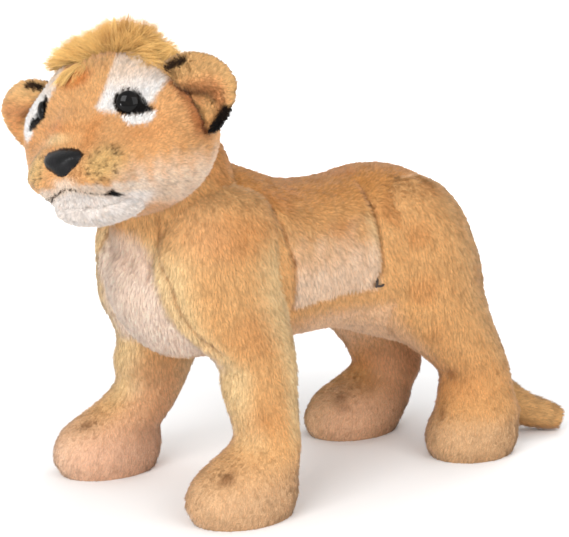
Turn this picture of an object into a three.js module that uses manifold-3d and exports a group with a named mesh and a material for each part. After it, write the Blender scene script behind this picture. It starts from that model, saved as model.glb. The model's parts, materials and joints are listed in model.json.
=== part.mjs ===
// A standing lion cub, sewn from short plush and stuffed firm, on a frame of twisted wire.
// The cub faces -Y, +X is its left side and +Z is up. Lengths are millimetres.
// The body, head, limbs, ears and tail are skins swept through hand chosen sections.
// Seats are cut for the whole range that a piece swings through, so each one moves freely.

import * as THREE from 'three';
import { mergeVertices } from 'three/addons/utils/BufferGeometryUtils.js';
import { ConvexGeometry } from 'three/addons/geometries/ConvexGeometry.js';
import Module from 'manifold-3d';

const wasm = await Module();
wasm.setup();

// Clearances and overruns
const gap = 0.3;
const swingGap = 1.5;
const overrun = 2;

// Body
const backHeight = 284;
const torsoLength = 388;
const torsoWidth = 168;
const chestForward = 118;
const chestRounding = 60;
const rumpRounding = 92;

// Neck: a round stump, centred on the point that the head turns about
const neckForward = 66;
const neckHeight = 298;
const neckRadius = 57;
const neckRootRadius = 72;
const neckRootDrop = 78;
const neckRootBack = 34;
const collarRise = 6;
const collarDepth = 30;
const collarFlare = 17;
const collarEase = 5;
const neckBallGap = 2.4;
const trimGap = 0.6;
const channelGap = 0.6;

// Front legs
const shoulderForward = 42;
const shoulderHeight = 226;
const shoulderInset = 50;
const frontLegHeight = 292;
const frontLegDepth = 126;
const frontLegWidth = 84;
const frontStance = 87;

// Hind legs
const hipBack = 188;
const hipHeight = 205;
const hipInset = 27;
const hindLegHeight = 277;
const hindLegDepth = 150;
const hindLegWidth = 116;
const hindStance = 62;

// Strides: how far each paw stands ahead of its leg's middle position, and outside it
const frontStrideLeft = -2;
const frontStrideRight = 34;
const hindStrideLeft = -30;
const hindStrideRight = 32;
const frontSplayRight = 14;
const pawTop = 42;

// Soles
const soleThickness = 3;
const soleInset = 5;
const soleRimLift = 0.6;

// Swings in degrees, from the middle position of each piece
const legSwingAngle = 12;
const earSwingAngle = 12;
const headNodAngle = 8;
const tailLiftAngle = 45;

// Head
const headLength = 180;
const headWidth = 166;
const headHeight = 150;
const headAhead = 42;
const headAbove = 50;
const headYaw = 25;
const headRoll = 10;
const skullRounding = 66;
const muzzleRounding = 19;

// Chin
const chinWidth = 76;
const chinHeight = 46;
const chinLength = 66;
const chinAhead = 96;
const chinDown = 54;

// Ears
const earHeight = 72;
const earReach = 50;
const earRoot = 26;
const earThickness = 18;
const earDish = 9;
const earSide = 71;
const earUp = 19;
const earForward = 18;
const earSweep = 4;
const earTilt = 8;
const earMarkSize = 17;

// Mane
const maneWidth = 142;
const maneDepth = 74;
const maneHeight = 86;
const maneUp = 50;
const maneForward = 9;

// Eyes
const eyeDiameter = 20;
const eyeBulge = 5.5;
const eyeRim = 1.6;
const eyeSide = 45;
const eyeAhead = 58;
const eyeUp = 27;
const eyeToeAngle = 36;
const eyeLiftAngle = 4;
const shankDiameter = 6;
const shankLength = 17;
const washerDiameter = 18;
const washerThickness = 2.4;
const washerDepth = 10;

// Nose
const noseWidth = 44;
const noseHeight = 34;
const noseDepth = 15;
const noseAhead = 109;
const noseDown = 20;
const noseLiftAngle = 10;
const nostrilDepth = 2;

// Tail
const tailRootBack = 254;
const tailRootHeight = 214;
const tailLength = 250;
const tailRadius = 19;

// Wires
const wireDiameter = 4;
const barDiameter = 5;
const barReach = 15;
const eyeletOffset = 8;
const neckWireReach = 22;
const linkRoom = 1.5;
const tailRootBore = 34;
const pawWireEnd = 24;

// Facets
const torsoRings = 17;
const torsoSides = 20;
const headRings = 18;
const headSides = 20;
const legRings = 13;
const legSides = 12;
const tailRings = 13;
const roundSides = 16;
const smallSides = 10;
const paddedSides = 12;
const tailSides = 8;
const markSides = 8;
const eyeletSides = 8;
const stumpRings = 4;
const domeSteps = 5;
const noseRings = 5;
const wireSides = 6;
const wireSteps = 7;
const seatSamples = 8;
const tailSeatSteps = 8;
const tailLiftSteps = 3;

const half = 0.5;
const slight = 0.02;
const turn = Math.PI * 2;
const radians = THREE.MathUtils.degToRad;
const mix = THREE.MathUtils.lerp;
const vec = (x, y, z) => new THREE.Vector3(x, y, z);
const alongX = vec(1, 0, 0);
const alongZ = vec(0, 0, 1);

const wireRadius = wireDiameter * half;
const barRadius = barDiameter * half;
const eyeletRadius = barRadius + wireRadius + gap;

// Sections of the torso from chest to rump: along, half width, top, bottom
const torsoShares = [
  [0.000, 0.72, 0.90, 0.54],
  [0.070, 0.84, 0.96, 0.49],
  [0.150, 0.94, 1.02, 0.47],
  [0.260, 0.99, 1.08, 0.47],
  [0.350, 0.97, 1.045, 0.48],
  [0.450, 0.93, 0.995, 0.485],
  [0.580, 0.93, 0.985, 0.485],
  [0.710, 0.96, 1.005, 0.435],
  [0.820, 0.96, 0.990, 0.395],
  [0.910, 0.88, 0.940, 0.41],
  [1.000, 0.74, 0.860, 0.50],
];

// Front leg from top to sole: height, shift back, half depth, sideways, half width
const frontLegShares = [
  [1.000, 0.00, 0.10, 0.58, 0.12],
  [0.960, 0.00, 0.32, 0.58, 0.34],
  [0.860, 0.00, 0.46, 0.58, 0.46],
  [0.770, 0.00, 0.50, 0.58, 0.50],
  [0.650, 0.01, 0.46, 0.64, 0.48],
  [0.540, 0.085, 0.395, 0.76, 0.42],
  [0.420, 0.155, 0.310, 0.87, 0.365],
  [0.310, 0.185, 0.250, 0.95, 0.355],
  [0.220, 0.125, 0.295, 0.99, 0.390],
  [0.130, 0.00, 0.400, 1.00, 0.445],
  [0.060, -0.03, 0.430, 1.00, 0.460],
  [0.000, -0.02, 0.375, 1.00, 0.405],
];

// Hind leg from top to sole: height, shift back, half depth, sideways, half width
const hindLegShares = [
  [1.000, -0.07, 0.10, 0.50, 0.12],
  [0.955, -0.07, 0.28, 0.50, 0.30],
  [0.850, -0.05, 0.415, 0.50, 0.44],
  [0.725, -0.02, 0.475, 0.50, 0.49],
  [0.600, 0.04, 0.445, 0.60, 0.44],
  [0.490, 0.15, 0.36, 0.82, 0.335],
  [0.390, 0.27, 0.285, 0.93, 0.285],
  [0.300, 0.33, 0.240, 0.98, 0.270],
  [0.215, 0.28, 0.260, 1.00, 0.290],
  [0.125, 0.20, 0.310, 1.00, 0.325],
  [0.055, 0.18, 0.325, 1.00, 0.335],
  [0.000, 0.18, 0.285, 1.00, 0.295],
];

// The right hind leg stands bent, its knee ahead and its hock behind: the same five shares
const bentLegShares = [
  [1.000, -0.07, 0.10, 0.50, 0.12],
  [0.955, -0.07, 0.28, 0.50, 0.30],
  [0.850, -0.05, 0.415, 0.50, 0.44],
  [0.725, -0.03, 0.475, 0.50, 0.49],
  [0.600, 0.02, 0.445, 0.60, 0.44],
  [0.490, 0.10, 0.385, 0.82, 0.345],
  [0.390, 0.215, 0.310, 0.93, 0.300],
  [0.300, 0.345, 0.262, 0.98, 0.275],
  [0.215, 0.430, 0.245, 1.00, 0.290],
  [0.125, 0.315, 0.370, 1.00, 0.325],
  [0.055, 0.250, 0.365, 1.00, 0.335],
  [0.000, 0.240, 0.315, 1.00, 0.295],
];

// How the stride of a paw spreads up its leg
const stridePower = 4;

// Head from muzzle to nape: along, middle height, half width, rise, drop
const headShares = [
  [0.000, -0.195, 0.48, 0.125, 0.13],
  [0.080, -0.190, 0.57, 0.17, 0.14],
  [0.175, -0.185, 0.65, 0.28, 0.17],
  [0.270, -0.160, 0.80, 0.47, 0.24],
  [0.390, -0.100, 0.94, 0.53, 0.36],
  [0.550, -0.050, 1.00, 0.52, 0.43],
  [0.720, -0.020, 0.89, 0.48, 0.37],
  [0.870, 0.000, 0.70, 0.41, 0.29],
  [1.000, 0.010, 0.52, 0.33, 0.22],
];

// How far ahead of the skull's middle the muzzle ends
const muzzleShare = 0.575;

// Swellings and hollows of the head: side, along, height, reach, rise
const headBumpShares = [
  [0.28, 0.045, -0.24, 0.14, 0.050],
  [0.00, 0.180, 0.05, 0.13, 0.030],
  [0.52, 0.235, 0.13, 0.12, -0.035],
  [0.40, 0.330, 0.38, 0.15, 0.030],
  [0.72, 0.300, 0.12, 0.16, 0.032],
  [0.88, 0.400, -0.16, 0.24, 0.045],
];

// Nose: how much the top is fuller, and where the nostrils are pressed in
const noseTaperShare = 0.2;
const nostrilSpotShare = 0.6;
const nostrilSpreadShare = 0.05;

// The part of the ear that is dished, and where the black marks sit on its rim
const earDishShare = 0.72;
const earMarkShare = 0.98;

// How much of the tail its seat follows
const tailSeatShare = 0.45;

// How far down their pieces the bent wires pass
const legWireShares = [0.48, 0.64, 0.80, 0.90];
const tailWireShares = [0.25, 0.40, 0.55, 0.72, 0.88];

// Tail from root to tip, as shares of its length: across, back, down, and thickness
const tailShares = [
  [0.000, 0.000, 0.000, 0.90],
  [0.000, 0.090, 0.140, 1.00],
  [0.010, 0.135, 0.400, 0.98],
  [0.045, 0.180, 0.620, 0.96],
  [0.130, 0.285, 0.745, 0.90],
  [0.200, 0.385, 0.788, 0.72],
  [0.235, 0.445, 0.803, 0.50],
];

function material(color, roughness, metalness = 0) {
  return new THREE.MeshStandardMaterial({ color, roughness, metalness });
}

const plush = () => material(0xd79a55, 0.95);
const palePlush = () => material(0xefdcc8, 0.95);
const manePlush = () => material(0xc48f4a, 0.9);
const blackPlush = () => material(0x1c1a18, 0.95);
const soleSuede = () => material(0xb98a68, 0.9);
const eyePlastic = () => material(0x0c0a09, 0.12);
const nosePlastic = () => material(0x151414, 0.45);
const washerPlastic = () => material(0xe8e6de, 0.5);
const coatedWire = () => material(0x9a9c9e, 0.4, 0.8);

// A row of a table at t from 0 to 1, on a smooth curve through its rows
function rowAt(table, t) {
  const last = table.length - 1;
  const place = THREE.MathUtils.clamp(t, 0, 1) * last;
  const index = Math.min(Math.floor(place), last - 1);
  const f = place - index;
  const before = table[Math.max(index - 1, 0)];
  const after = table[Math.min(index + 2, last)];
  return table[index].map((from, column) => {
    const to = table[index + 1][column];
    const leave = (to - before[column]) * half;
    const arrive = (after[column] - from) * half;
    const rise = (3 * (to - from) - 2 * leave - arrive) * f * f;
    const settle = (2 * (from - to) + leave + arrive) * f * f * f;
    return from + leave * f + rise + settle;
  });
}

// How far a rounded end has opened at a distance from its tip
function roundEnd(distance, radius) {
  const share = THREE.MathUtils.clamp(distance / radius, 0, 1);
  return Math.max(Math.sqrt(1 - (1 - share) ** 2), slight);
}

// Steps that crowd towards both ends of a form, where it rounds off
function crowded(share) {
  return (1 - Math.cos(Math.PI * share)) * half;
}

// Turns every face round if the body encloses a negative volume
function facedOut(geometry) {
  const position = geometry.attributes.position;
  const index = geometry.index.array;
  const corners = [vec(0, 0, 0), vec(0, 0, 0), vec(0, 0, 0)];
  let volume = 0;
  for (let i = 0; i < index.length; i += 3) {
    corners.forEach((corner, k) => corner.fromBufferAttribute(position, index[i + k]));
    volume += corners[0].dot(corners[1].cross(corners[2]));
  }
  if (volume < 0) {
    geometry.setIndex(Array.from(index).reverse());
  }
  return geometry;
}

// A closed skin: rings of points along a form, with a middle point closing each end
function skin(rings, sides, pointAt) {
  const points = [];
  const faces = [];
  const at = (i, j) => i * sides + (j % sides);
  for (let i = 0; i <= rings; i += 1) {
    for (let j = 0; j < sides; j += 1) {
      points.push(pointAt(i / rings, turn * j / sides));
    }
  }
  for (let i = 0; i < rings; i += 1) {
    for (let j = 0; j < sides; j += 1) {
      faces.push(at(i, j), at(i + 1, j), at(i + 1, j + 1));
      faces.push(at(i, j), at(i + 1, j + 1), at(i, j + 1));
    }
  }
  for (const end of [0, rings]) {
    const middle = vec(0, 0, 0);
    for (let j = 0; j < sides; j += 1) {
      middle.addScaledVector(points[at(end, j)], 1 / sides);
    }
    const index = points.push(middle) - 1;
    for (let j = 0; j < sides; j += 1) {
      const pair = end === 0 ? [at(end, j), at(end, j + 1)] : [at(end, j + 1), at(end, j)];
      faces.push(index, ...pair);
    }
  }
  const geometry = new THREE.BufferGeometry();
  const flat = points.flatMap((point) => point.toArray());
  geometry.setAttribute('position', new THREE.Float32BufferAttribute(flat, 3));
  geometry.setIndex(faces);
  return facedOut(geometry);
}

// Shared corners merged, and faces that have collapsed to a line dropped
function tidied(geometry) {
  const bare = geometry.clone();
  bare.deleteAttribute('normal');
  bare.deleteAttribute('uv');
  const merged = mergeVertices(bare);
  const index = Array.from(merged.index.array);
  const faces = [];
  for (let i = 0; i < index.length; i += 3) {
    const face = index.slice(i, i + 3);
    if (new Set(face).size === face.length) {
      faces.push(...face);
    }
  }
  merged.setIndex(faces);
  return merged;
}

function solidOf(geometry) {
  const merged = tidied(geometry);
  const vertProperties = new Float32Array(merged.attributes.position.array);
  const triVerts = new Uint32Array(merged.index.array);
  return new wasm.Manifold(new wasm.Mesh({ numProp: 3, vertProperties, triVerts }));
}

function geometryOf(solid) {
  const mesh = solid.getMesh();
  const geometry = new THREE.BufferGeometry();
  const positions = new THREE.Float32BufferAttribute(mesh.vertProperties, mesh.numProp);
  geometry.setAttribute('position', positions);
  geometry.setIndex(Array.from(mesh.triVerts));
  return geometry;
}

function joined(geometries) {
  return geometryOf(geometries.map(solidOf).reduce((whole, solid) => whole.add(solid)));
}

function without(geometry, ...cutters) {
  return geometryOf(cutters.map(solidOf).reduce((rest, solid) => rest.subtract(solid), solidOf(geometry)));
}

function within(geometry, room) {
  return geometryOf(solidOf(geometry).intersect(solidOf(room)));
}

function moved(geometry, matrix) {
  return geometry.clone().applyMatrix4(matrix);
}

function placed(point) {
  return new THREE.Matrix4().makeTranslation(point);
}

// A turn about an axis through a point
function turnAbout(point, axis, degrees) {
  const spin = new THREE.Matrix4().makeRotationAxis(axis, radians(degrees));
  return placed(point).multiply(spin).multiply(placed(point.clone().negate()));
}

function ellipsoid(rx, ry, rz, sides) {
  return new THREE.SphereGeometry(1, sides, sides * half).scale(rx, ry, rz);
}

function boxBetween(low, high) {
  const size = high.clone().sub(low);
  const middle = high.clone().add(low).multiplyScalar(half);
  return moved(new THREE.BoxGeometry(size.x, size.y, size.z), placed(middle));
}

// A solid turned about the Z axis: points are pairs of radius and height
function turned(points) {
  const profile = points.map(([radius, height]) => new THREE.Vector2(radius, height));
  const shape = new THREE.LatheGeometry(profile, roundSides).rotateX(turn / 4);
  return facedOut(tidied(shape));
}

// A rod along X
function rod(radius, from, to, point) {
  const shape = new THREE.CylinderGeometry(radius, radius, to - from, smallSides).rotateZ(turn / 4);
  return moved(shape, placed(vec((from + to) * half, point.y, point.z)));
}

// A wire bent through points, as a tube with closed ends
function bentWire(points, radius) {
  const path = new THREE.CatmullRomCurve3(points);
  const outline = new THREE.Shape().absarc(0, 0, radius, 0, turn);
  const tube = new THREE.ExtrudeGeometry(outline, {
    steps: wireSteps,
    extrudePath: path,
    curveSegments: wireSides * half,
    bevelEnabled: false,
  });
  return facedOut(tidied(tube));
}

// A ring of wire round the X axis, or round the Y axis
function eyelet(point, radius, roundY = false) {
  const ring = new THREE.TorusGeometry(eyeletRadius, radius, wireSides, eyeletSides);
  return moved(roundY ? ring.rotateX(turn / 4) : ring.rotateY(turn / 4), placed(point));
}

const neckPoint = vec(0, -neckForward, neckHeight);
const tailPoint = vec(0, tailRootBack, tailRootHeight);
const shoulderPoint = vec(0, -shoulderForward, shoulderHeight);
const hipPoint = vec(0, hipBack, hipHeight);

// Torso: a long soft barrel from chest to rump, with a round stump for the neck
function barrelForm() {
  return skin(torsoRings, torsoSides, (share, angle) => {
    const [spot, width, top, bottom] = rowAt(torsoShares, crowded(share));
    const distance = spot * torsoLength;
    const open = roundEnd(distance, chestRounding) * roundEnd(torsoLength - distance, rumpRounding);
    const middle = (top + bottom) * half * backHeight;
    const rise = (top - bottom) * half * backHeight * open;
    const x = width * torsoWidth * half * open * Math.cos(angle);
    return vec(x, distance - chestForward, middle + rise * Math.sin(angle));
  });
}

function neckBall(radius) {
  return moved(ellipsoid(radius, radius, radius, roundSides), placed(neckPoint));
}

function neckStump() {
  return skin(stumpRings, torsoSides, (share, angle) => {
    const reach = mix(neckRadius, neckRootRadius, share);
    const y = -neckForward + neckRootBack * share + reach * Math.sin(angle);
    return vec(reach * Math.cos(angle), y, neckHeight - neckRootDrop * share);
  });
}

// Room under the jaw, so the head can nod and turn over the neck
function collarRoom() {
  const profile = [
    [0, -collarDepth],
    [neckRadius + collarFlare, -collarDepth],
    [neckRadius + collarEase, collarRise],
    [0, collarRise],
  ];
  return moved(turned(profile), placed(neckPoint));
}

const legs = [
  ['front_left', 1, frontLegShares, frontStrideLeft, 0],
  ['front_right', -1, frontLegShares, frontStrideRight, frontSplayRight],
  ['hind_left', 1, hindLegShares, hindStrideLeft, 0],
  ['hind_right', -1, bentLegShares, hindStrideRight, 0],
].map(([name, side, shares, stride, splay]) => ({ name, side, shares, stride, splay }));
for (const leg of legs) {
  const front = leg.shares === frontLegShares;
  Object.assign(leg, {
    pivot: front ? shoulderPoint : hipPoint,
    inset: front ? shoulderInset : hipInset,
    height: front ? frontLegHeight : hindLegHeight,
    depth: front ? frontLegDepth : hindLegDepth,
    width: front ? frontLegWidth : hindLegWidth,
    stance: front ? frontStance : hindStance,
  });
}

// The section of a leg at a share of the way down: its middle and its half sizes
function legSection(leg, share) {
  const [high, back, depth, across, width] = rowAt(leg.shares, share);
  const height = high * leg.height;
  const below = (leg.pivot.z - height) / (leg.pivot.z - pawTop);
  const follow = THREE.MathUtils.clamp(below, 0, 1) ** stridePower;
  return {
    middle: vec(
      leg.side * (across * leg.stance + leg.splay * follow),
      leg.pivot.y + back * leg.depth - leg.stride * follow,
      height,
    ),
    depth: depth * leg.depth,
    width: width * leg.width,
  };
}

function legForm(leg) {
  return skin(legRings, legSides, (share, angle) => {
    const { middle, depth, width } = legSection(leg, share);
    return middle.add(vec(width * Math.cos(angle), depth * Math.sin(angle), 0));
  });
}

// The angle, in degrees, that a leg stands ahead of its middle position
function restAngle(leg) {
  return THREE.MathUtils.radToDeg(Math.atan2(leg.stride, leg.pivot.z));
}

// Room for a leg's top through its whole swing: a prism from its side outline
function legSeat(leg) {
  const points = [];
  for (let i = 0; i <= seatSamples; i += 1) {
    const { middle, depth } = legSection(leg, i * half / seatSamples);
    for (const end of [-1, 1]) {
      for (const swing of [-legSwingAngle, 0, legSwingAngle]) {
        const corner = vec(0, middle.y + end * (depth + swingGap), middle.z + swingGap);
        corner.applyMatrix4(turnAbout(leg.pivot, alongX, swing + restAngle(leg)));
        points.push(corner.clone().setX(leg.side * leg.inset));
        points.push(corner.setX(leg.side * torsoWidth));
      }
    }
  }
  return tidied(new ConvexGeometry(points));
}

// Everything on a leg's own side of its seat plane
function legSide(leg) {
  const plane = leg.side * (leg.inset + gap);
  const far = leg.side * torsoWidth;
  const low = vec(Math.min(plane, far), -torsoLength, soleRimLift);
  return boxBetween(low, vec(Math.max(plane, far), torsoLength, torsoLength));
}

// The sole's outline follows the paw's flat underside, drawn in by its inset
function soleForm(leg, grow, low, high) {
  const { middle, depth, width } = legSection(leg, 1);
  return skin(1, legSides, (share, angle) => vec(
    middle.x + (width - soleInset + grow) * Math.cos(angle),
    middle.y + (depth - soleInset + grow) * Math.sin(angle),
    mix(low, high, share),
  ));
}

// The frame wire of a leg: an eyelet on the cross bar, and a wire down to the paw
function legWire(leg, grow) {
  const ring = leg.pivot.clone().setX(leg.side * (leg.inset + eyeletOffset));
  const points = [ring.clone().add(vec(0, 0, -eyeletRadius))];
  for (const share of legWireShares) {
    points.push(legSection(leg, share).middle);
  }
  points[points.length - 1].z = pawWireEnd - grow;
  return joined([eyelet(ring, wireRadius + grow), bentWire(points, wireRadius + grow)]);
}

// Cross bar that carries a pair of legs
function crossBar(leg, grow) {
  const reach = leg.inset + barReach + grow;
  return rod(barRadius + grow, -reach, reach, leg.pivot);
}

// Spine wire, from an eyelet in the neck, over both cross bars, to an eyelet at the tail
function spineWire(grow) {
  const over = barRadius + wireRadius + gap;
  const points = [
    neckPoint.clone().add(vec(0, 0, -eyeletRadius)),
    shoulderPoint.clone().lerp(neckPoint, half),
    shoulderPoint.clone().add(vec(0, 0, over)),
    shoulderPoint.clone().lerp(hipPoint, half).add(vec(0, 0, over)),
    hipPoint.clone().add(vec(0, 0, over)),
    tailPoint.clone().add(vec(0, -eyeletRadius, 0)),
  ];
  return joined([
    eyelet(neckPoint, wireRadius + grow),
    bentWire(points, wireRadius + grow),
    eyelet(tailPoint, wireRadius + grow),
  ]);
}

// Neck wire: a link through the spine wire's eyelet, and a stem up into the head
function neckWire(grow) {
  const link = neckPoint.clone().add(vec(0, 0, eyeletRadius));
  const stem = [eyeletRadius, neckRadius, neckRadius + neckWireReach + grow];
  const points = stem.map((rise) => link.clone().add(vec(0, 0, rise)));
  return joined([eyelet(link, wireRadius + grow, true), bentWire(points, wireRadius + grow)]);
}

// Room in the neck for the link, and for the stem as the head nods
function neckWireRoom() {
  const radius = eyeletRadius + wireRadius + linkRoom;
  const link = placed(neckPoint.clone().add(vec(0, 0, eyeletRadius)));
  const side = wireRadius + gap;
  const points = [];
  for (const swing of [-headNodAngle, 0, headNodAngle]) {
    for (const [x, y] of [[-side, -side], [side, -side], [side, side], [-side, side]]) {
      const spin = turnAbout(neckPoint, alongX, swing);
      points.push(neckPoint.clone().add(vec(x, y, 0)).applyMatrix4(spin));
      points.push(neckPoint.clone().add(vec(x, y, neckRadius + overrun)).applyMatrix4(spin));
    }
  }
  return joined([
    moved(ellipsoid(radius, radius, radius, smallSides), link),
    new ConvexGeometry(points),
  ]);
}

// Head: muzzle, brow and skull in one skin
function headForm(grow = 0) {
  const front = -muzzleShare * headLength;
  return skin(headRings, headSides, (share, angle) => {
    const [spot, middle, width, rise, drop] = rowAt(headShares, crowded(share));
    const distance = spot * headLength;
    const open = roundEnd(distance, muzzleRounding) * roundEnd(headLength - distance, skullRounding);
    const reach = Math.sin(angle) > 0 ? rise : drop;
    const x = width * headWidth * half * open * Math.cos(angle);
    const z = middle * headHeight + reach * headHeight * open * Math.sin(angle);
    return swollen(vec(x, front + distance, z), front, grow);
  });
}

// Moves a point of the head out or in by the swellings near it
function swollen(point, front, grow) {
  const out = point.clone().multiply(vec(1, half, 1)).normalize();
  let push = grow;
  for (const [side, spot, height, reach, rise] of headBumpShares) {
    for (const mirror of [-1, 1]) {
      const x = mirror * side * headWidth * half;
      const centre = vec(x, front + spot * headLength, height * headHeight);
      const share = point.distanceTo(centre) / (reach * headWidth);
      push += rise * headHeight * Math.exp(-share * share);
    }
  }
  return point.addScaledVector(out, push);
}

const headMatrix = placed(neckPoint)
  .multiply(new THREE.Matrix4().makeRotationZ(radians(headYaw)))
  .multiply(new THREE.Matrix4().makeRotationY(radians(-headRoll)))
  .multiply(placed(vec(0, -headAhead, headAbove)));

function onHead(geometry, matrix = new THREE.Matrix4()) {
  return moved(geometry, headMatrix.clone().multiply(matrix));
}

function chinForm() {
  const shape = ellipsoid(chinWidth * half, chinLength * half, chinHeight * half, paddedSides);
  return moved(shape, placed(vec(0, chinLength * half - chinAhead, -chinDown)));
}

function maneForm() {
  const shape = ellipsoid(maneWidth * half, maneDepth * half, maneHeight * half, paddedSides);
  return moved(shape, placed(vec(0, -maneForward, maneUp)));
}

function earMatrix(side) {
  return placed(vec(side * earSide, -earForward, earUp))
    .multiply(new THREE.Matrix4().makeRotationY(radians(-side * earTilt)))
    .multiply(new THREE.Matrix4().makeRotationZ(radians(side * earSweep)));
}

// Ear: a round padded leaf with a dished front
function earForm(side) {
  const reach = (earReach + earRoot) * half;
  const middle = placed(vec(side * (earReach - earRoot) * half, 0, 0));
  const leaf = ellipsoid(reach, earThickness * half, earHeight * half, paddedSides);
  const dish = ellipsoid(reach * earDishShare, earDish, earHeight * half * earDishShare, smallSides);
  const front = placed(vec(0, -earThickness * half, 0));
  return without(moved(leaf, middle), moved(dish, middle.clone().multiply(front)));
}

// The ear's front axis is its root line, about which it folds
function earFoldRoom(side) {
  const head = moved(headForm(gap), earMatrix(side).invert());
  return [-earSwingAngle, 0, earSwingAngle].map((swing) => moved(head, turnAbout(vec(0, 0, 0), alongZ, swing)));
}

// Room for an ear through its whole fold
function earSwingRoom(side) {
  const reach = (earReach + earRoot) * half + swingGap;
  const thick = earThickness * half + swingGap;
  const leaf = ellipsoid(reach, thick, earHeight * half + swingGap, paddedSides);
  const middle = placed(vec(side * (earReach - earRoot) * half, 0, 0));
  const points = [];
  for (const swing of [-earSwingAngle, 0, earSwingAngle]) {
    const swung = moved(leaf, turnAbout(vec(0, 0, 0), alongZ, swing).multiply(middle));
    const { position } = swung.attributes;
    for (let i = 0; i < position.count; i += 1) {
      points.push(vec(0, 0, 0).fromBufferAttribute(position, i));
    }
  }
  return tidied(new ConvexGeometry(points));
}

// Where the black marks sit on the rim: at its top and at its lower outside
function earMarkRoom(side, high, grow) {
  const reach = earMarkSize + grow;
  const x = high ? 0 : side * earReach * half;
  const z = (high ? 1 : -1) * earHeight * half * earMarkShare;
  return moved(ellipsoid(reach, earThickness, reach, markSides), placed(vec(x, 0, z)));
}

// A safety eye: a glossy dome and its shank in one piece, looking along Z
function eyeForm() {
  const radius = eyeDiameter * half;
  const points = shankProfile(0);
  points.push([radius, -eyeRim]);
  for (let i = 0; i < domeSteps; i += 1) {
    const angle = turn / 4 * i / domeSteps;
    points.push([radius * Math.cos(angle), eyeBulge * Math.sin(angle)]);
  }
  points.push([0, eyeBulge]);
  return turned(points);
}

// Room for an eye in the face, open to the front
function eyeRoom() {
  const radius = eyeDiameter * half + trimGap;
  const front = eyeBulge + eyeBulge;
  return turned([...shankProfile(trimGap), [radius, -eyeRim - trimGap], [radius, front], [0, front]]);
}

function shankProfile(grow) {
  const radius = shankDiameter * half + grow;
  const end = -shankLength - grow;
  return [[0, end], [radius, end], [radius, -eyeRim - grow]];
}

// A lock washer pressed on a shank
function washerForm() {
  const inner = shankDiameter * half + gap;
  const outer = washerDiameter * half;
  const low = -washerDepth - washerThickness;
  const points = [[inner, low], [outer, low], [outer, -washerDepth], [inner, -washerDepth]];
  return turned([...points, points[0]]);
}

function washerPocket() {
  const outer = washerDiameter * half + gap;
  const low = -washerDepth - washerThickness - gap;
  const high = gap - washerDepth;
  return turned([[0, low], [outer, low], [outer, high], [0, high]]);
}

// Nose: a rounded triangle, fuller at the top, with two nostrils pressed in, facing along Z
function noseForm(grow) {
  const width = noseWidth * half + grow;
  const height = noseHeight * half + grow;
  const cap = skin(noseRings, roundSides, (share, angle) => {
    const open = Math.max(Math.sin(share * turn / 4), slight);
    const x = width * open * (1 + noseTaperShare * Math.sin(angle)) * Math.cos(angle);
    const y = height * open * Math.sin(angle);
    const across = Math.abs(x) / width - nostrilSpotShare;
    const nostril = Math.exp(-(across ** 2 + (y / height) ** 2) / nostrilSpreadShare);
    const rise = (noseDepth + grow + grow) * Math.cos(share * turn / 4);
    const z = rise - nostrilDepth * nostril * (1 - share);
    return vec(x, y, z - grow);
  });
  return joined([cap, turned([...shankProfile(grow), [0, -eyeRim - grow]]), noseStem(grow)]);
}

// The short stem between the nose cap and its shank
function noseStem(grow) {
  const radius = shankDiameter * half + grow;
  return turned([[0, -overrun - eyeRim], [radius, -overrun - eyeRim], [radius, overrun], [0, overrun]]);
}

// Matrices that stand the eyes and the nose in the face
function eyeMatrix(side) {
  return facing(vec(side * eyeSide, -eyeAhead, eyeUp), side * eyeToeAngle, eyeLiftAngle);
}

function noseMatrix() {
  return facing(vec(0, -noseAhead + noseDepth, -noseDown), 0, noseLiftAngle);
}

function facing(point, aside, lift) {
  return placed(point)
    .multiply(new THREE.Matrix4().makeRotationZ(radians(aside)))
    .multiply(new THREE.Matrix4().makeRotationX(turn / 4 - radians(lift)));
}

// Tail: hangs down behind the thighs, then trails along the floor to one side
function tailAt(share) {
  const [across, back, down, thick] = rowAt(tailShares, share);
  const point = vec(across, back, -down).multiplyScalar(tailLength).add(tailPoint);
  return { point, radius: thick * tailRadius };
}

// The ring of the tail at a share of its length
function tailRing(share, grow) {
  const { point, radius } = tailAt(share);
  const ahead = tailAt(share + slight).point.sub(tailAt(share - slight).point).normalize();
  const lift = ahead.clone().cross(alongX).normalize();
  const aside = ahead.clone().cross(lift).normalize();
  const ends = roundEnd((1 - share) * tailLength, radius) * roundEnd(share * tailLength, radius);
  return (angle) => point.clone()
    .addScaledVector(lift, (radius * ends + grow) * Math.cos(angle))
    .addScaledVector(aside, (radius * ends + grow) * Math.sin(angle));
}

function tailForm() {
  return skin(tailRings, tailSides, (share, angle) => tailRing(share, 0)(angle));
}

// Room in the rump for the tail's root as it lifts
function tailSeat() {
  const points = [];
  for (let i = 0; i <= tailSeatSteps; i += 1) {
    const ring = tailRing(tailSeatShare * (i / tailSeatSteps) ** 2, swingGap);
    for (let j = 0; j < tailSides; j += 1) {
      for (let k = 0; k <= tailLiftSteps; k += 1) {
        const spin = turnAbout(tailPoint, alongX, tailLiftAngle * k / tailLiftSteps);
        points.push(ring(turn * j / tailSides).applyMatrix4(spin));
      }
    }
  }
  const radius = eyeletRadius + eyeletRadius + wireRadius + linkRoom;
  const link = moved(ellipsoid(radius, radius, radius, smallSides), placed(tailPoint));
  return joined([new ConvexGeometry(points), link]);
}

// Tail wire: a link through the spine wire's rear eyelet, and a wire down the tail
function tailWire(grow) {
  const link = tailPoint.clone().add(vec(0, 0, -eyeletRadius));
  const points = [link.clone().add(vec(0, 0, -eyeletRadius))];
  for (const share of tailWireShares) {
    points.push(tailAt(share).point);
  }
  return joined([eyelet(link, wireRadius + grow, true), bentWire(points, wireRadius + grow)]);
}

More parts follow.
